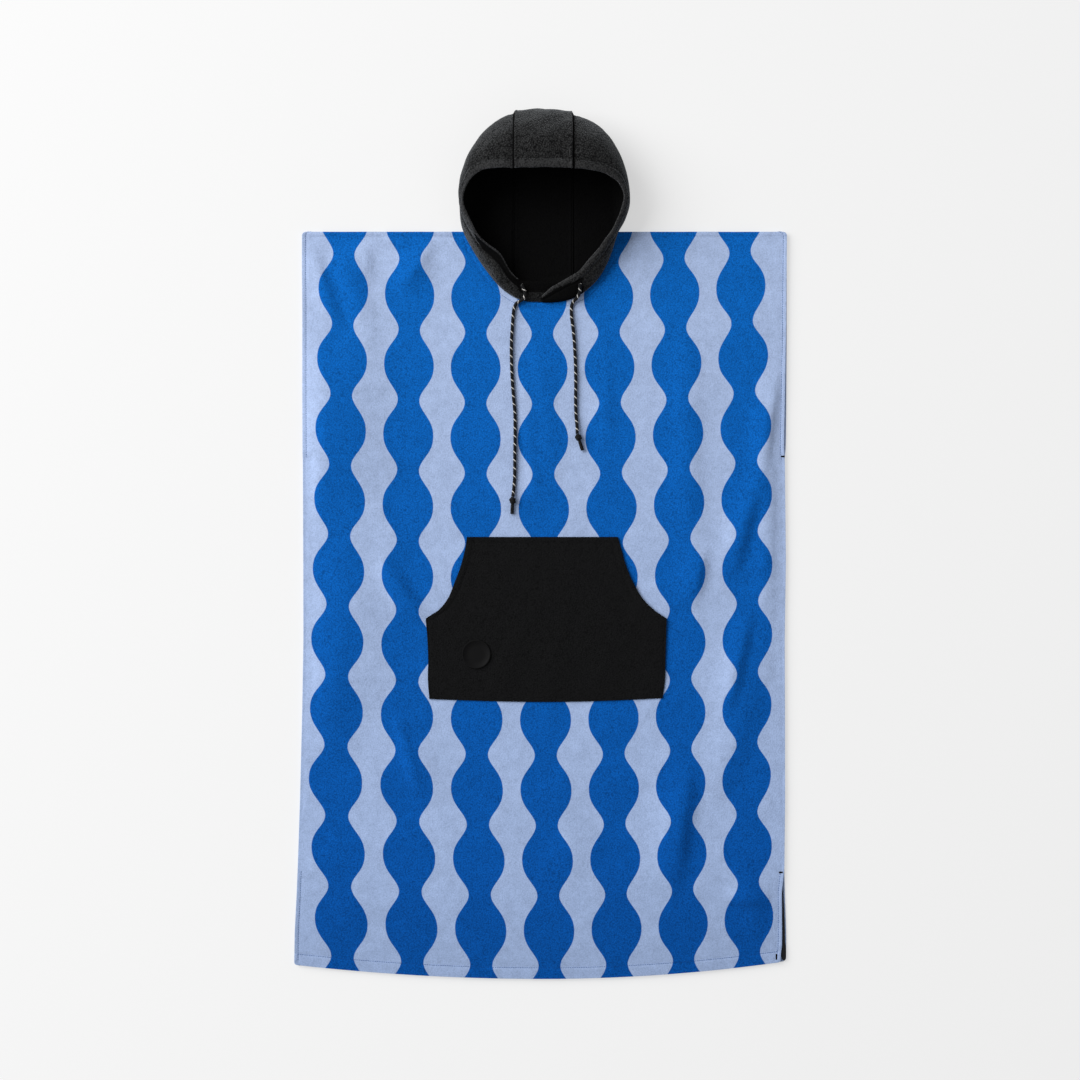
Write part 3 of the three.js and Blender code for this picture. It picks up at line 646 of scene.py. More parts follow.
rightRows = np.array([
    crownRows[-1],
    [[74, 554.5, 82], [84, 592, 79], [92, 617, 45], [78, 596, 1.2]],
    [[98, 549, 74], [111, 567, 69], [119.8, 574, 43], [102, 562, 1.2]],
    [[118, 534, 66], [126.5, 535, 56], [130, 534, 36], [112, 530, 1.2]],
    [[124, 516, 60], [129.6, 513, 48], [130.4, 511, 29], [114, 506, 1.2]],
    [[120, 497, 55], [125.4, 492, 42], [124.8, 489, 23], [113.5, 488, 1.2]],
    [[112.5, 478, 50], [117, 474, 36], [115.2, 471.6, 17], [109.2, 470.4, 4.3]],
    [[102, 461, 44], [108, 452, 31], [107.6, 446, 14], [104, 446, 4.6]],
    [[84, 439, 36], [91, 425, 26], [91.5, 410, 14], [89.4, 410, 4.6]],
    [[69, 421, 30], [75, 404, 22], [74.5, 389.4, 12.6], [73, 389, 4.6]],
    [[56, 408, 26.5], [58, 392, 20], [56, 375.4, 11], [54.6, 375.4, 5.2]],
    [[40, 399, 24], [40, 386, 19], [37, 369, 12.4], [36, 368.6, 7.8]],
    [[19, 387, 20.4], [19, 379, 17], [18, 367.4, 12.2], [18, 366.4, 8.4]],
    [[2, 374, 14], [2, 371, 12.8], [2, 368, 10.8], [2, 366, 8.4]],
])
shoulderRow = {"left": 5, "right": 6}  # the last row whose foot is on the hood's floor


def blendRows(rows, places):
    sections = np.stack([spline(rows[:, k], places) for k in range(4)], 1)
    sections[..., 2] = np.maximum(sections[..., 2], backLayer)
    return sections


def sectionPlaces(section):
    # points down one section, close together across the turned hem; and how far each is from the rim
    dense = spline(section, np.linspace(0, 1, 160))
    dense[:, 2] = np.maximum(dense[:, 2], backLayer)
    run = np.concatenate([[0], np.cumsum(np.linalg.norm(np.diff(dense, axis=0), axis=1))])
    hem = min(hood["hemWidth"], 0.5 * run[-1])
    near = np.array([0, 0.1, 0.25, 0.42, 0.6, 0.78, 0.9, 1.0, 1.12]) * hem
    rest = np.linspace(near[-1], run[-1], hood["sectionSteps"] + 1)[1:]
    at = np.concatenate([near, rest])
    return np.stack([np.interp(at, run, dense[:, k]) for k in range(3)], -1), at / hem, run[-1] - at


def mergePoints(points, faces):
    # points in one place become one, and faces that have shrunk to a line are left out
    _, first, index = np.unique(np.round(points, 3), axis=0, return_index=True, return_inverse=True)
    index = index.ravel()
    merged = [[int(v) for k, v in enumerate(face) if v != face[k - 1]] for face in index[faces]]
    return first, index, [face for face in merged if len(face) > 2]


def normalsAndEdges(points, faces, seams):
    # the points' normals, level with the seams they lie on, and the edges that have one face only
    normals = np.zeros_like(points)
    edges = {}
    for face in faces:
        corners = points[face]
        normals[face] += 0.5 * np.cross(corners, np.roll(corners, -1, 0)).sum(0)
        for a, b in zip(face, face[1:] + face[:1]):
            if edges.pop((b, a), None) is None:
                edges[(a, b)] = True
    for x in seams:
        normals[np.abs(points[:, 0] - x) < 0.01, 0] = 0
    return normals / np.linalg.norm(normals, axis=1, keepdims=True), edges


def clothShell(name, points, faces, outer, inner, rim, fromRim, material, seams, paintedShade):
    # a closed wall about a middle surface, with its own thickness at each point and a rolled rim
    first, index, middle = mergePoints(points, faces)
    rims = {index[i]: way for i, way in rim.items()}
    points, outer, inner = points[first], outer[first], inner[first]
    fromRim, paintedShade = fromRim[first], paintedShade[first]
    normals, edges = normalsAndEdges(points, middle, seams)
    count = len(points)
    vertices = [*(points + normals * outer[:, None]), *(points - normals * inner[:, None])]
    made = [tuple(face) for face in middle]
    made += [tuple(v + count for v in face[::-1]) for face in middle]
    caps = {}
    for v, way in rims.items():
        normal = normals[v]
        way = way - normal * way.dot(normal)
        way = way / np.linalg.norm(way)
        half, centre = (outer[v] + inner[v]) / 2, points[v] + normal * (outer[v] - inner[v]) / 2
        caps[v] = [v]
        for k in range(1, hood["capSteps"]):
            angle = math.pi * k / hood["capSteps"]
            caps[v].append(len(vertices))
            vertices.append(centre + half * (math.cos(angle) * normal + math.sin(angle) * way))
        caps[v].append(v + count)
    for a, b in edges:
        capA, capB = (caps[v] if a in caps and b in caps else [v, v + count] for v in (a, b))
        made += [(capA[k], capA[k + 1], capB[k + 1], capB[k]) for k in range(len(capA) - 1)]
    for v, chain in caps.items():
        for a, b in [edge for edge in edges if v in edge]:
            if a not in caps or b not in caps:
                made.append(tuple(chain if v == a else chain[::-1]))
    vertices = np.array(vertices)
    vertices[:, 2] = np.maximum(vertices[:, 2], 0)
    piece = makeMesh(name, vertices, made, material)
    paintedShadeForCopy = paintLightAndShade(piece, points, normals, fromRim, paintedShade, caps)
    # faces mostly in painted shade, and all of the inner face, take the darker painted-shade copy of the
    # cloth
    inside = np.array([np.mean(paintedShadeForCopy[list(face)]) > 0.5 for face in made]).astype(int)
    inside[len(middle):2 * len(middle)] = 1
    piece.data.materials.append(hoodShadedCopy)
    piece.data.polygons.foreach_set("material_index", inside)
    return piece


def paintLightAndShade(piece, points, normals, fromRim, paintedShade, caps):
    # "rim" is a painted highlight along the turned hem, and the other attribute is painted shade where a
    # flap is folded under or tucked in, where the wall turns under and along the seams
    count = len(points)
    paintedHighlight = np.ones(len(piece.data.vertices))
    across = 0.12 + 0.45 * smooth((points[:, 2] - 60) / 20)
    paintedHighlight[:count] = np.exp(-np.maximum(fromRim - across, 0) ** 2 / 0.02)
    paintedHighlight[count:2 * count] = np.exp(-(fromRim ** 2) / 0.03)
    paintedShadeValues = np.zeros(len(paintedHighlight))
    paintedShadeValues[:count] = paintedShade
    for v, chain in caps.items():
        paintedHighlight[chain[1:-1]] = 1 - hood["paintedShadeScale"] * paintedShadeValues[v]
        paintedShadeValues[chain[1:-1]] = hood["paintedShadeScale"] * paintedShadeValues[v]
    paintedShadeForCopy = paintedShadeValues.copy()
    # painted shade where the wall turns under and faces down
    turned = smooth((hood["underEdge"] - normals[:, 2]) / 0.4) * smooth((570 - points[:, 1]) / 90)
    turned = hood["underShade"] * turned * (fromRim > hood["underFrom"]) * (fromRim < hood["underTo"])
    paintedShadeValues[:count] = np.maximum(paintedShadeValues[:count], turned)
    paintedHighlight[:count] *= 1 - paintedShadeValues[:count]
    for label, values in (("rim", paintedHighlight), ("paintedShade", paintedShadeValues)):
        attribute = piece.data.attributes.new(label, "FLOAT", "POINT")
        attribute.data.foreach_set("value", values.astype("f"))
    return paintedShadeForCopy


def seamDistance(points, isFloor, seams):
    # how far from the nearest crown seam; the flaps below pass under its place but have no seam
    fromSeam = np.min([np.abs(points[:, 0] - x) for x in seams], axis=0)
    return np.where(isFloor | (points[:, 1] > hood["crownY"]), fromSeam, remote)


def wallThickness(points, fromRim, fromFoot, seams, isFloor, ridge, flat=0):
    # how far the cloth reaches out from its middle surface, and in from it
    half = cloth["wall"] / 2
    fuzz = 1 + hood["hemFuzz"] * unevenness(points[:, 0], points[:, 1], 31, 5, 15)
    roll = np.sin(math.pi * np.clip(fromRim, 0, 1) * 0.86 + 0.25)
    swell = fuzz * hood["hemSwell"] * roll * (1 - flat)
    onHem = smooth((1 - fromRim) / 0.12)
    dip = hood["stitchDip"] * np.exp(-(((fromRim - 1) / 0.12) ** 2))
    fromSeam = seamDistance(points, isFloor, seams)
    groove = hood["seamGroove"] * np.exp(-((fromSeam / hood["seamWidth"]) ** 2))
    groove = groove - ridge * np.exp(-(((fromSeam - hood["seamRidgeAt"]) / 1.7) ** 2))
    neck = hood["neckDip"] * np.exp(-(((fromFoot - hood["neckSeam"]) / 1.1) ** 2))
    neck = np.where(points[:, 1] < 470, neck, 0)
    outer = half + np.where(isFloor, 0, onHem * swell - dip - groove - neck)
    inner = half + np.where(isFloor, -0.5 * groove, 0.7 * onHem * swell - 0.4 * groove)
    return np.maximum(outer, 0.25), np.maximum(inner, 0.25)


def rimWays(points, sections, columns):
    return {i * columns: points[i * columns] - points[i * columns + 1] for i in range(sections)}


def neckEnd(x):
    # where the hood's floor ends, just inside the back panel's neckline
    return np.array([x, neckLine(x, body["backDepth"]) + 2.2, backLayer])


def roughen(points, isFloor, seams, step):
    # slow unevenness of the soft wall, out from the hood's middle, and the side panels' step at a seam
    away = points - np.array(hood["middle"])
    away /= np.linalg.norm(away, axis=1, keepdims=True)
    fromSeam = seamDistance(points, isFloor, seams)
    away[:, 0] *= smooth(fromSeam / 14)
    onWall = np.where(isFloor, 0, smooth((points[:, 2] - 4) / 14))
    wave = unevenness(points[:, 0] + 0.7 * points[:, 2], points[:, 1] - 0.6 * points[:, 2], 5, 16, 60)
    out = hood["unevenness"] * wave - step * np.exp(-((fromSeam / hood["stepWidth"]) ** 2))
    along, across = points[:, 1] + points[:, 2], points[:, 1] - points[:, 2]
    ripple = np.sin(along / 2.6 + 1.5 * np.sin(across / 9)) * np.exp(-(((fromSeam - 6) / 5) ** 2))
    out = out + hood["pucker"] * ripple
    return points + away * (onWall * out)[:, None]


def seamAllowance(x, y):
    # the nape seam turned down over the back panel: each row is how far on, and how high
    share = smooth((100 - abs(x)) / 12)
    return [np.array([x, y - on * share, backLayer + rise * share])
            for on, rise in ((0.5, 1.5), (2.0, 2.6), (5.2, 2.8), (12.2, 2.8))]


def hoodFloor(feet, shares, end):
    # the floor from each section's foot to the nape, then the nape seam; the corner is the last foot
    steps = hood["floorSteps"]
    corner = feet[-1]
    points = []
    for foot, u in zip(feet, shares):
        seamPoint = feet[0] + (end - feet[0]) * u
        for j in range(steps + 1):
            w = j / steps
            chord = corner + (end - corner) * w
            edge = neckEnd(chord[0]) if j else corner
            point = foot + (seamPoint - foot) * w + (edge - chord) * u
            points.append(np.array([point[0], point[1], max(point[2], backLayer)]))
    turned = [seamAllowance(x, y) for x, y, _ in points[-steps:]]
    for k in range(4):
        points += [corner, *(chain[k] for chain in turned)]
    return points


# Where the flaps fold at the front, y and x in mm and places on the turned hem from 0 at the rim
# most of these places set where the flaps' painted shade lies; the dent moves the cloth itself
leftFlap = {
    "foldY": 478, "foldStart": 0.04, "foldEnd": 0.25, "foldSpread": 0.95,
    "tuckX": -37, "tuckY": 412, "tipY": 384, "dent": 3.5, "dentWay": (0.3, 0.2, -0.9),
    "dentFromRim": 0.75, "dentWidth": 0.4, "dentY": 424, "dentLength": 34,
}
rightFlap = {"bandX": 20, "band": 0.2, "bandSpread": 0.45, "underX": 80, "underY": 416}


def paintedLeftFlapShade(x, y, fromRim):
    # painted shade: a dark band a little below this flap's rim, where it folds in, and over its end, which
    # is tucked under the right flap
    inFold = smooth((leftFlap["foldY"] - y) / 40)
    outside = leftFlap["foldEnd"] + leftFlap["foldSpread"] * inFold
    fold = smooth((leftFlap["foldY"] - y) / 20) * smooth((fromRim - leftFlap["foldStart"]) / 0.1)
    fold *= smooth((outside - fromRim) / 0.3)
    chin = smooth((x - leftFlap["tuckX"]) / 6) * smooth((leftFlap["tuckY"] - y) / 8)
    chin *= 1 - 0.6 * smooth((leftFlap["tipY"] - y) / 6)
    return np.maximum(fold, hood["paintedShadeScale"] * chin)


def dentLeft(y, fromRim):
    along = np.exp(-((y - leftFlap["dentY"]) / leftFlap["dentLength"]) ** 2)
    return along * np.exp(-(((fromRim - leftFlap["dentFromRim"]) / leftFlap["dentWidth"]) ** 2))


def paintedRightFlapShade(x, y, fromRim):
    # painted shade over this flap below its turned band, where it lies in its own shade
    band = rightFlap["band"] + rightFlap["bandSpread"] * smooth((x - rightFlap["bandX"]) / 45)
    under = smooth((fromRim - band) / 0.3) * smooth((rightFlap["underX"] - x) / 26)
    return hood["underFlapPaintedShade"] * under * smooth((rightFlap["underY"] - y) / 16)


def hoodSide(name, rows, side, seamShift):
    rows = rows.copy()
    rows[0, :, 0] += seamShift
    seamX = rows[0, 0, 0]
    last = len(rows) - 1
    near = np.array([0, 0.7, 1.5, 2.6, 4.2, 6.5, 10, 15, 22]) / hood["firstGap"]
    places = np.concatenate([near, np.linspace(0.85, last, last * hood["rowSteps"])]) / last
    shoulder = shoulderRow[side] / last
    places = np.unique(np.append(places, shoulder))
    sections = blendRows(rows, places)
    walls, fromRims, fromFeet = zip(*(sectionPlaces(section) for section in sections))
    columns = len(walls[0])
    wall = np.concatenate(walls)
    turn = int(np.argmin(np.abs(places - shoulder))) + 1
    floor = hoodFloor(sections[:turn, 3], places[:turn] / places[turn - 1], neckEnd(seamX))
    points = np.array([*wall, *floor])
    fromRim = np.concatenate([*fromRims, np.full(len(floor), offHem)])
    fromFoot = np.concatenate([*fromFeet, np.full(len(floor), remote)])
    isFloor = np.arange(len(points)) >= len(wall)
    floorFaces = gridFaces(turn + 4, hood["floorSteps"] + 1, len(wall))
    faces = np.vstack([gridFaces(len(sections), columns), floorFaces])
    faces = faces[:, ::-1] if side == "left" else faces
    y = points[:, 1]
    flat = {"left": hood["flatLeft"] * smooth((480 - y) / 35),
            "right": hood["flatRight"] * smooth((412 - y) / 20)}[side]
    outer, inner = wallThickness(points, fromRim, fromFoot, [seamX], isFloor, 0, flat)
    rim = rimWays(points, len(sections), columns)
    points = roughen(points, isFloor, [seamX], hood["sideStep"])
    x, y = points[:, 0], points[:, 1]
    if side == "left":
        paintedShade = paintedLeftFlapShade(x, y, fromRim) * ~isFloor
        dent = leftFlap["dent"] * (dentLeft(y, fromRim) * ~isFloor)
        points = points + dent[:, None] * np.array(leftFlap["dentWay"])
    else:
        paintedShade = paintedRightFlapShade(x, y, fromRim) * ~isFloor
    # painted shade along the crown seam
    seamLine = np.exp(-((seamDistance(points, isFloor, [seamX]) / hood["shadeWidth"]) ** 2))
    paintedShade = np.maximum(paintedShade, hood["seamShade"] * seamLine)
    return clothShell(name, points, faces, outer, inner, rim, fromRim, hoodCloth, [seamX], paintedShade)


def crownStrip(name):
    inset = cloth["seamGap"] / 2
    rows = crownRows.copy()
    rows[0, :, 0] += inset
    rows[-1, :, 0] -= inset
    width = rows[-1, 0, 0] - rows[0, 0, 0]
    near = [0, 0.6, 1.3, 2.2, 3.4, 4.6, 6, 8]
    places = spread(width, 4, near, near) / width
    sections = blendRows(rows, places)
    points, fromRim, fromFoot, isFloor = [], [], [], []
    for section in sections:
        wall, distance, toFoot = sectionPlaces(section)
        end = neckEnd(section[3][0])
        floor = [*np.linspace(section[3], end, 30)[1:], *seamAllowance(end[0], end[1])]
        points += [*wall, *floor]
        fromRim += [*distance, *np.full(len(floor), offHem)]
        fromFoot += [*toFoot, *np.full(len(floor), remote)]
        isFloor += [False] * len(wall) + [True] * len(floor)
    columns = len(points) // len(sections)
    points, fromRim, fromFoot, isFloor = map(np.array, (points, fromRim, fromFoot, isFloor))
    seams = [rows[0, 0, 0], rows[-1, 0, 0]]
    outer, inner = wallThickness(points, fromRim, fromFoot, seams, isFloor, hood["seamRidge"])
    rim = rimWays(points, len(sections), columns)
    points = roughen(points, isFloor, seams, 0)
    faces = gridFaces(len(sections), columns)
    # painted shade along both crown seams
    seamLine = np.exp(-((seamDistance(points, isFloor, seams) / hood["shadeWidth"]) ** 2))
    return clothShell(name, points, faces, outer, inner, rim, fromRim, hoodCloth, seams,
                      hood["seamShade"] * seamLine)


hoodLeft = hoodSide("hoodLeft", leftRows, "left", -cloth["seamGap"] / 2)
hoodRight = hoodSide("hoodRight", rightRows, "right", cloth["seamGap"] / 2)
hoodCentre = crownStrip("hoodCentre")
print("hood made")

# Pocket

pocket = {
    "width": 350, "height": 242, "middleHeight": 245, "step": 3.2, "rowStep": 2.9,
    "swell": 2.2, "sagLeft": -228.6, "sagMiddle": -233.0, "sagRight": -227.4,
    "hem": 8, "seam": 2.6, "ridge": 0.5, "dip": 0.6, "unevenness": 0.3,
    "slant": 0.8,  # how far in from a slanting opening a point is, for each mm across
}
# y, left edge, right edge
pocketRows = np.array([
    [14.0, -110.0, 115.6], [-2, -112.6, 120.4], [-30, -119.6, 128.4], [-54, -128.6, 138.8],
    [-77, -138.0, 151.8], [-95, -152.0, 169.6], [-102.5, -163.4, 180.0], [-108.5, -172.0, 189.0],
    [-138, -169.4, 188.0], [-170, -168.2, 187.2], [-202, -168.6, 186.2], [-228, -166.4, 182.8],
])
pocketCorner = -108.5
# The same edges as smooth curves that meet at the corner below each opening
pocketEdge = np.vstack([spline(pocketRows[:8], np.linspace(0, 1, 80)),
                        spline(pocketRows[7:], np.linspace(0, 1, 40))[1:]])[::-1]


def pocketSides(y):
    return [np.interp(y, pocketEdge[:, 0], pocketEdge[:, k]) for k in (1, 2)]


def pocketPlace(down, t):
    # down from the top edge to the bottom edge, t from the left edge to the right one
    top, bottom = pocketRows[0, 0], pocketRows[-1, 0]
    y = top + (bottom - top) * down
    left, right = pocketSides(y)
    side = np.where(t < 0.5, pocket["sagLeft"], pocket["sagRight"])
    sag = side + (pocket["sagMiddle"] - side) * np.sin(math.pi * t)
    return left + (right - left) * t, y + (sag - bottom) * down ** 4


def pocketHeight(down, t, x, y):
    swell = np.sin(math.pi * down) * (0.35 + 0.65 * np.sin(math.pi * t))
    width = 2 * np.abs(t - 0.5)
    left, right = pocketSides(y)
    fromSide = (1 - width) * (right - left) / 2
    fromTop, fromBottom = down * pocket["height"], (1 - down) * pocket["middleHeight"]
    z = pocket["swell"] * swell
    opening = smooth((y - pocketCorner) / 4)
    fromOpening = fromSide * pocket["slant"]
    z += opening * stitchedBand(fromOpening, pocket["hem"], pocket["ridge"] + 0.3, pocket["dip"])
    z += (1 - opening) * stitchedBand(fromSide, pocket["seam"], 0, pocket["dip"], 1.2)
    z += stitchedBand(fromTop, pocket["hem"], pocket["ridge"], pocket["dip"])
    z += stitchedBand(fromBottom, pocket["seam"], 0, pocket["dip"], 1.2)
    inner = smooth(np.minimum.reduce([fromSide, fromTop, fromBottom]) / 30)
    z += pocket["unevenness"] * inner * unevenness(x, y, 12, 16, 80)
    return np.maximum(z, 0)


def makePocket():
    fine = [0, 0.8, 1.8, 2.6, 3.6, 5.5, 7, 8, 9, 11]
    down = spread(pocket["height"], pocket["rowStep"], fine, fine)[:, None] / pocket["height"]
    t = spread(pocket["width"], pocket["step"], fine, fine)[None, :] / pocket["width"]
    down, t = np.broadcast_arrays(down, t)
    x, y = pocketPlace(down, t)
    base = frontTop + cloth["seamGap"] + cloth["wall"] / 2
    z = base + pocketHeight(down, t, x, y)
    points = np.stack([x, y, z], -1).reshape(-1, 3)
    piece = makeMesh("pouchPocket", points, gridFaces(*x.shape).tolist(), pocketCloth)
    giveWall(piece)
    return piece


pouchPocket = makePocket()

patch = {
    "x": -96.2, "y": -161.5, "z": 9.6, "radius": 21.5, "thickness": 1.6, "rim": 1.9, "recess": 0.45,
    "sides": 96,
}


def makePatch():
    # a bare moulded disc with a rounded rim round a shallow recess
    r, h, rim, low = patch["radius"], patch["thickness"], patch["rim"], patch["recess"]
    profile = [(0, 0), (r - 0.3, 0), (r, 0.3)]
    for a in np.linspace(0.2, 1.5, 5):
        profile.append((r - 0.5 + 0.5 * math.cos(a), h - 0.5 + 0.5 * math.sin(a)))
    profile += [(r - rim + 0.35, h), (r - rim, h - 0.15), (r - rim - 0.3, h - low)]
    profile += [(r * 0.5, h - low + 0.1), (0, h - low + 0.12)]
    sides = patch["sides"]
    points, faces = [], []
    for radius, height in profile:
        ring = 1 if radius == 0 else sides
        for k in range(ring):
            angle = 2 * math.pi * k / sides
            x, y = patch["x"] + radius * math.cos(angle), patch["y"] + radius * math.sin(angle)
            points.append((x, y, patch["z"] + height))
    last = len(points) - 1
    for k in range(sides):
        after = (k + 1) % sides
        faces.append((0, 1 + after, 1 + k))
        for ring in range(len(profile) - 3):
            a, b = 1 + ring * sides, 1 + (ring + 1) * sides
            faces.append((a + k, a + after, b + after, b + k))
        top = 1 + (len(profile) - 3) * sides
        faces.append((top + k, top + after, last))
    return makeMesh("roundPatch", points, faces, rubber)


roundPatch = makePatch()
print("pocket and patch made")

# Drawcord: x, y and height over the front panel, from where an end comes out of its flap to its knot

leftRoute = [
    (-0.0284, 0.3910, 0.0120), (-0.0248, 0.3842, 0.0109), (-0.0229, 0.3774, 0.0094),
    (-0.0250, 0.3708, 0.0083), (-0.0304, 0.3669, 0.0060), (-0.0360, 0.3634, 0.0039),
    (-0.0394, 0.3560, 0.0032), (-0.0410, 0.3450, 0.0032), (-0.0420, 0.3300, 0.0032),
    (-0.0434, 0.3080, 0.0032), (-0.0436, 0.2840, 0.0032), (-0.0426, 0.2560, 0.0032),
    (-0.0406, 0.2260, 0.0032), (-0.0384, 0.2000, 0.0032), (-0.0380, 0.1700, 0.0032),
    (-0.0384, 0.1380, 0.0032), (-0.0388, 0.1040, 0.0032), (-0.0400, 0.0860, 0.0038),
    (-0.0414, 0.0742, 0.0058),
]
rightRoute = [
    (0.0590, 0.3914, 0.0194), (0.0588, 0.3834, 0.0158), (0.0579, 0.3770, 0.0125),
    (0.0544, 0.3712, 0.0086), (0.0496, 0.3666, 0.0052), (0.0466, 0.3594, 0.0035),
    (0.0462, 0.3490, 0.0032), (0.0474, 0.3360, 0.0032), (0.0490, 0.3240, 0.0032),
    (0.0508, 0.3020, 0.0032), (0.0522, 0.2760, 0.0032), (0.0528, 0.2480, 0.0032),
    (0.0526, 0.2180, 0.0032), (0.0532, 0.1960, 0.0034), (0.0546, 0.1800, 0.0044),
    (0.0550, 0.1684, 0.0058),
]


def cordPath(route):
    # the cord rises with the folds that it crosses
    places = []
    for x, y, lift in route:
        height = (frontTop * mm) + lift + float(foldHeight(x / mm, y / mm)) * mm
        places.append((x, y, height))
    return spline(np.array(places) / mm, np.linspace(0, 1, 40 * (len(route) - 1)))


def tube(name, path, radius, material, sides=16, blunt=0.35):
    # a round tube along a path, with blunt ends; U is the distance along it and V the way round
    ways = np.gradient(path, axis=0)
    ways /= np.linalg.norm(ways, axis=1, keepdims=True)
    side = np.cross(ways[0], [0, 0, 1.0])
    side /= np.linalg.norm(side)
    run = np.concatenate([[0], np.cumsum(np.linalg.norm(np.diff(path, axis=0), axis=1))])
    radii = np.broadcast_to(radius, len(path))
    points, faces, corners = [], [], []
    for i, way in enumerate(ways):
        side = side - way * side.dot(way)
        side /= np.linalg.norm(side)
        other = np.cross(side, way)
        for k in range(sides):
            angle = 2 * math.pi * k / sides
            points.append(path[i] + radii[i] * (math.cos(angle) * side + math.sin(angle) * other))
    for i in range(len(path) - 1):
        for k in range(sides):
            a, b = i * sides + k, i * sides + (k + 1) % sides
            faces.append((a, b, b + sides, a + sides))
            for row, turn in ((i, k), (i, k + 1), (i + 1, k + 1), (i + 1, k)):
                corners.append((run[row] * mm, turn / sides))
    first, last = len(points), len(points) + 1
    points += [path[0] - ways[0] * blunt, path[-1] + ways[-1] * blunt]
    base = (len(path) - 1) * sides
    for k in range(sides):
        after = (k + 1) % sides
        faces += [(first, after, k), (last, base + k, base + after)]
        corners += [(0, 0.5), (0, (k + 1) / sides), (0, k / sides)]
        corners += [(run[-1] * mm, v) for v in (0.5, k / sides, (k + 1) / sides)]
    return makeMesh(name, points, faces, material, cornerUv=corners)


knotShape = {
    "wrapRadius": 3.1, "strand": 2.15, "neck": 2.4, "tail": 2.6, "turns": 2.25, "length": 7.5,
    "start": 1.2, "tailStart": 1.5, "lift": 5.3, "droop": 2.0, "steps": 90,
}
leftKnotEnds = ((-41.5, 73.4), (-42.6, 48.5))
rightKnotEnds = ((55.2, 167.6), (62.8, 143.8))


def knotPath(start, end):
    # the cord goes in at the top, winds round itself and comes out as the tail
    z = frontTop + cloth["seamGap"] + knotShape["lift"]
    start, end = np.array([*start, z]), np.array([*end, z - knotShape["droop"]])
    way = (end - start) / np.linalg.norm(end - start)
    side = np.cross(way, [0, 0, 1.0])
    up = np.cross(side, way)
    length = np.linalg.norm(end - start)
    points, radii = [start], [knotShape["neck"]]
    for k in range(knotShape["steps"]):
        t = k / (knotShape["steps"] - 1)
        angle = 2 * math.pi * knotShape["turns"] * t
        reach = knotShape["wrapRadius"] * math.sin(math.pi * t) ** 0.35
        along = knotShape["start"] + knotShape["length"] * (t + 0.10 * math.sin(4 * math.pi * t))
        points.append(start + way * along + reach * (math.cos(angle) * side + math.sin(angle) * up))
        radii.append(knotShape["strand"])
    tailStart = knotShape["length"] + knotShape["tailStart"]
    for t in np.linspace(0.1, 1, 14):
        points.append(start + way * (tailStart + (length - tailStart) * t))
        radii.append(knotShape["strand"] + (knotShape["tail"] - knotShape["strand"]) * min(1, 3 * t))
    return np.array(points), radii


cordPieces = {}
for name, route, ends in (("left", leftRoute, leftKnotEnds), ("right", rightRoute, rightKnotEnds)):
    path = cordPath(route)
    cordPiece = tube(name + "Cord", path, cordLook["diameter"] / 2, fleckedCord)
    knotPoints, knotRadii = knotPath(*ends)
    knotPiece = tube(name + "Knot", knotPoints, knotRadii, plainCord, sides=14)
    cordPieces[name] = (cordPiece, knotPiece, path)
print("drawcord made")

# Tape behind the right slit

tape = {"low": 2.7, "thickness": 1.4, "roundness": 0.35}
# x, y round it from its narrow top end; it widens to a folded end at the hem
tapeOutline = [
    (362.4, -503), (362.5, -540), (362.6, -580), (362.6, -599), (361.4, -603), (360.6, -607),
    (360.5, -614), (361.2, -617.5), (363.4, -620.4), (365.4, -621), (367.0, -619.6), (368.0, -616),
    (368.2, -608), (367.6, -600), (366.4, -594), (366.2, -580), (365.6, -560), (364.6, -535),
    (363.2, -503),
]


def makeTape():
    count = len(tapeOutline)
    points = [(x, y, tape["low"] + z) for z in (0, tape["thickness"]) for x, y in tapeOutline]
    faces = [tuple(range(count))[::-1], tuple(range(count, 2 * count))]
    faces += [(k, (k + 1) % count, (k + 1) % count + count, k + count) for k in range(count)]
    piece = makeMesh("slitTape", points, faces, tapeWeave)
    roundEdges(piece, tape["roundness"])
    return piece


slitTape = makeTape()

# Stitches, by Geometry Nodes along lines that lie on the cloth

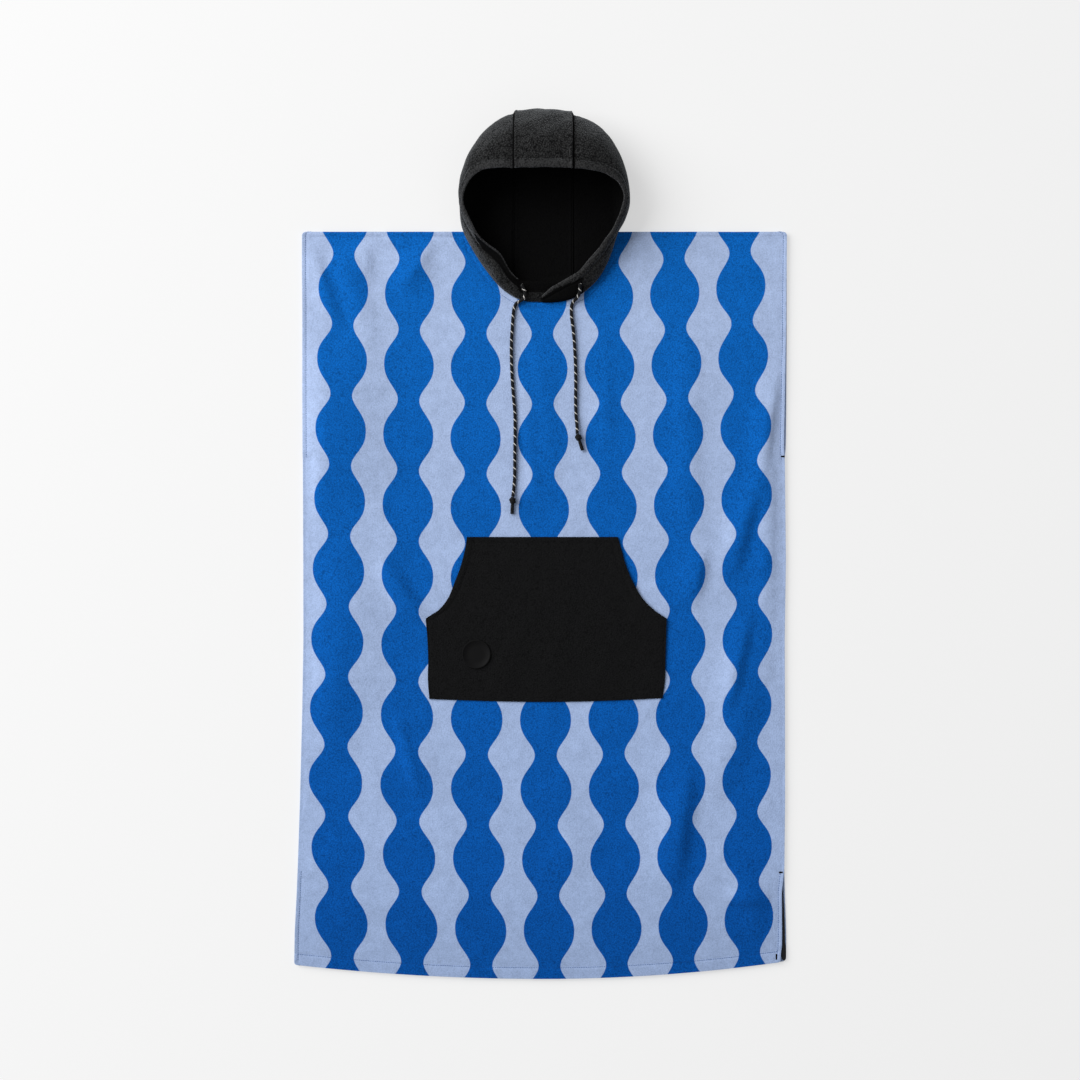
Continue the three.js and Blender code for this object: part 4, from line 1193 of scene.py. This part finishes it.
def buildStitchTree():
    tree = bpy.data.node_groups.new("stitchLine", "GeometryNodeTree")
    for name, kind, value in (
        ("Geometry", "NodeSocketGeometry", None), ("Spacing", "NodeSocketFloat", 3.4 * mm),
        ("Length", "NodeSocketFloat", 2.7 * mm), ("Thread", "NodeSocketFloat", 0.55 * mm),
        ("Turn", "NodeSocketFloat", 0.0), ("Unevenness", "NodeSocketFloat", 0.08),
        ("Seed", "NodeSocketInt", 4), ("Material", "NodeSocketMaterial", None),
    ):
        socket = tree.interface.new_socket(name, in_out="INPUT", socket_type=kind)
        if value is not None:
            socket.default_value = value
    tree.interface.new_socket("Geometry", in_out="OUTPUT", socket_type="NodeSocketGeometry")
    start = tree.nodes.new("NodeGroupInput")
    end = tree.nodes.new("NodeGroupOutput")
    given = start.outputs
    line = addNode(tree, "GeometryNodeMeshToCurve", {"Mesh": given["Geometry"]})
    places = addNode(tree, "GeometryNodeResampleCurve",
                     {"Curve": line.outputs[0], "Length": given["Spacing"]}, mode="LENGTH")
    tangent = addNode(tree, "GeometryNodeInputTangent")
    facing = addNode(tree, "FunctionNodeAlignRotationToVector", {
        "Vector": tangent.outputs[0]}, axis="X")
    wobble = addNode(tree, "FunctionNodeRandomValue", {"Seed": given["Seed"]}, data_type="FLOAT")
    low = addNode(tree, "ShaderNodeMath", {0: given["Unevenness"], 1: -1.0}, operation="MULTIPLY")
    tree.links.new(low.outputs[0], wobble.inputs[2])
    tree.links.new(given["Unevenness"], wobble.inputs[3])
    turned = addNode(tree, "ShaderNodeMath", {0: given["Turn"], 1: wobble.outputs[1]}, operation="ADD")
    angles = addNode(tree, "ShaderNodeCombineXYZ", {"Z": turned.outputs[0]})
    rotation = addNode(tree, "FunctionNodeEulerToRotation", {0: angles.outputs[0]})
    both = addNode(tree, "FunctionNodeRotateRotation",
                   {0: facing.outputs[0], 1: rotation.outputs[0]}, rotation_space="LOCAL")
    thread = addNode(tree, "GeometryNodeMeshUVSphere", {"Segments": 8, "Rings": 6, "Radius": 0.5})
    size = addNode(tree, "ShaderNodeCombineXYZ",
                   {"X": given["Length"], "Y": given["Thread"], "Z": given["Thread"]})
    shaped = addNode(tree, "GeometryNodeTransform", {
        "Geometry": thread.outputs[0], "Scale": size.outputs[0]})
    stitches = addNode(tree, "GeometryNodeInstanceOnPoints", {
        "Points": places.outputs[0], "Instance": shaped.outputs[0], "Rotation": both.outputs[0]})
    real = addNode(tree, "GeometryNodeRealizeInstances", {0: stitches.outputs[0]})
    rounded = addNode(tree, "GeometryNodeSetShadeSmooth", {0: real.outputs[0]})
    finished = addNode(tree, "GeometryNodeSetMaterial", {
        "Geometry": rounded.outputs[0], "Material": given["Material"]})
    tree.links.new(finished.outputs[0], end.inputs[0])
    return tree


stitchTree = buildStitchTree()


def sewLines(name, lines, material, **values):
    # one mesh of thread for all the lines; each line is a row of points on the cloth
    points, edges = [], []
    for line in lines:
        start = len(points)
        points += [tuple(p) for p in np.asarray(line) * mm]
        edges += [(start + k, start + k + 1) for k in range(len(line) - 1)]
    mesh = bpy.data.meshes.new(name + "Lines")
    mesh.from_pydata(points, edges, [])
    lineObject = bpy.data.objects.new(name + "Lines", mesh)
    scene.collection.objects.link(lineObject)
    modifier = lineObject.modifiers.new("stitches", "NODES")
    modifier.node_group = stitchTree
    sockets = {item.name: item.identifier for item in stitchTree.interface.items_tree
               if item.in_out == "INPUT"}
    modifier[sockets["Material"]] = material
    for key, value in values.items():
        modifier[sockets[key]] = value
    bpy.context.view_layer.update()
    evaluated = lineObject.evaluated_get(bpy.context.evaluated_depsgraph_get())
    sewn = bpy.data.meshes.new_from_object(evaluated)
    sewn.name = name
    piece = bpy.data.objects.new(name, sewn)
    scene.collection.objects.link(piece)
    bpy.data.objects.remove(lineObject)
    return piece


def onFront(x, y, lift=0.05):
    x, y = np.broadcast_arrays(np.asarray(x, float), np.asarray(y, float))
    return np.stack([x, y, frontTop + frontHeight(x, y) + lift], -1)


def bodyLines():
    hemY = -632
    x = np.linspace(edgeX(hemY, "left", 1) + 2, edgeX(hemY, "right", 1) - 2, 260)
    lines = [onFront(x, hemLine(x) + body["hemStitch"])]
    for side, sign in (("left", 1), ("right", -1)):
        for top, bottom in ((468, body["armEnd"]), (body["slitTop"], -619)):
            y = np.linspace(top, bottom, 90)
            lines.append(onFront(edgeX(y, side, 1) + sign * body["sideStitch"], y))
    # the neck's topstitching stays one width outside the neckline
    x = np.linspace(-body["neckHalfWidth"] + 0.3, body["neckHalfWidth"] - 0.3, 240)
    y = neckLine(x, body["frontDepth"])
    way = np.stack([np.gradient(x), np.gradient(y)], -1)
    way /= np.linalg.norm(way, axis=1, keepdims=True)
    outX, outY = x + way[:, 1] * body["neckStitch"], y - way[:, 0] * body["neckStitch"]
    keep = outY < 466
    lines.append(onFront(outX[keep], outY[keep]))
    return lines


bodyStitches = sewLines("bodyStitches", bodyLines(), blueThread, Thread=0.7 * mm, Length=2.9 * mm)


def pocketLines():
    base = frontTop + cloth["seamGap"] + cloth["wall"] + 0.05

    def line(down, t):
        down, t = np.broadcast_arrays(np.asarray(down, float), np.asarray(t, float))
        x, y = pocketPlace(down, t)
        return np.stack([x, y, base + pocketHeight(down, t, x, y)], -1)

    across = np.linspace(0.01, 0.99, 160)
    height = pocket["height"]
    downCorner = (pocketRows[0, 0] - pocketCorner) / height
    bottomSeam = 1 - pocket["seam"] / pocket["middleHeight"]
    lines = [line(pocket["hem"] / height, across), line(bottomSeam, across)]
    lower = np.linspace(downCorner + 0.01, 0.99, 60)
    upper = np.linspace(0.01, downCorner - 0.005, 90)
    for side in ("left", "right"):
        for down, inset in ((lower, pocket["seam"]), (upper, pocket["hem"] / pocket["slant"])):
            left, right = pocketSides(pocketRows[0, 0] - height * down)
            share = inset / (right - left)
            lines.append(line(down, share if side == "left" else 1 - share))
    return lines


pocketStitches = sewLines("pocketStitches", pocketLines(), blackThread)


def hoodLines():
    # the overlocked crown seams inside the hood: over the floor to the nape, and up the inner wall
    lines = []
    for row in (crownRows[0], crownRows[-1]):
        seam, foot = row[0, 0], row[3, 1]
        end = neckEnd(seam)
        y = np.concatenate([np.linspace(foot + 1, end[1], 60), end[1] - np.array([1.6, 5, 12])])
        z = np.concatenate([np.full(60, 2 * backLayer), [4.6, 5.2, 5.2]]) + 0.1
        lines.append(np.stack([np.full(len(y), seam), y, z], -1))
        wall, fromRim, _ = sectionPlaces(row)
        wall = roughen(wall, np.zeros(len(wall), bool), [seam], 0)
        way = np.gradient(wall, axis=0)
        inward = np.stack([np.zeros(len(wall)), -way[:, 2], way[:, 1]], -1)
        inward /= np.linalg.norm(inward, axis=1, keepdims=True)
        inward *= np.sign((inward[:, 1:] * (hood["middle"][1:] - wall[:, 1:])).sum(1))[:, None]
        lines.append((wall + inward * (backLayer + 0.7))[fromRim > 1.1])
    return lines


# the inner seams take the darker painted-shade copy of the hood cloth
hoodStitches = sewLines("hoodStitches", hoodLines(), hoodShadedCopy, Spacing=1.5 * mm, Length=3.0 * mm,
                        Thread=2.0 * mm, Turn=0.5)


def bartack(x0, y0, x1, y1):
    return onFront(np.linspace(x0, x1, 12), np.linspace(y0, y1, 12), 0.2)


bartacks = sewLines(
    "bartacks",
    [bartack(360.6, 134.6, 365.2, 134.6), bartack(357.6, -488.5, 362.6, -488.5),
     bartack(353.4, -611, 353.4, -619)],
    blackThread, Spacing=0.5 * mm, Length=2.8 * mm, Thread=0.9 * mm, Turn=math.pi / 2,
)
print("stitches made")

# Stage and light

def areaLight(name, at, size, power):
    data = bpy.data.lights.new(name, "AREA")
    data.energy = power
    data.size = size
    lamp = bpy.data.objects.new(name, data)
    lamp.location = at
    aim = -np.array(at)
    tilt = math.acos(-aim[2] / np.linalg.norm(aim))
    lamp.rotation_euler = (tilt, 0, math.atan2(aim[1], aim[0]) - math.pi / 2)
    scene.collection.objects.link(lamp)


world = bpy.data.worlds.new("softLight")
world.use_nodes = True
background = world.node_tree.nodes["Background"]
background.inputs["Color"].default_value = (1, 1, 1, 1)
background.inputs["Strength"].default_value = light["world"]
scene.world = world
areaLight("key", **light["key"])

ground = {"half": 20000, "z": -0.3}
groundCorners = [(x * ground["half"], y * ground["half"], ground["z"])
                 for x, y in ((-1, -1), (1, -1), (1, 1), (-1, 1))]
floor = makeMesh("floor", groundCorners, [(0, 1, 2, 3)], floorMaterial())

# What each piece stands for, and what it is

pieces = {
    "front_panel": (frontPanel, "towelling"), "back_panel": (backPanel, "towelling"),
    "hood_left": (hoodLeft, "hood_fleece"), "hood_right": (hoodRight, "hood_fleece"),
    "hood_centre": (hoodCentre, "hood_fleece"), "pocket": (pouchPocket, "hood_fleece"),
    "patch": (roundPatch, "patch_rubber"), "slit_tape": (slitTape, "cord"),
    "left_cord": (cordPieces["left"][0], "cord"), "left_knot": (cordPieces["left"][1], "cord"),
    "right_cord": (cordPieces["right"][0], "cord"), "right_knot": (cordPieces["right"][1], "cord"),
}
for node, (piece, slot) in pieces.items():
    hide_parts(node)
    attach(piece, "root")
for piece, slot in ((bodyStitches, "towelling"), (pocketStitches, "hood_fleece"),
                    (hoodStitches, "hood_fleece"), (bartacks, "cord")):
    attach(piece, "root")
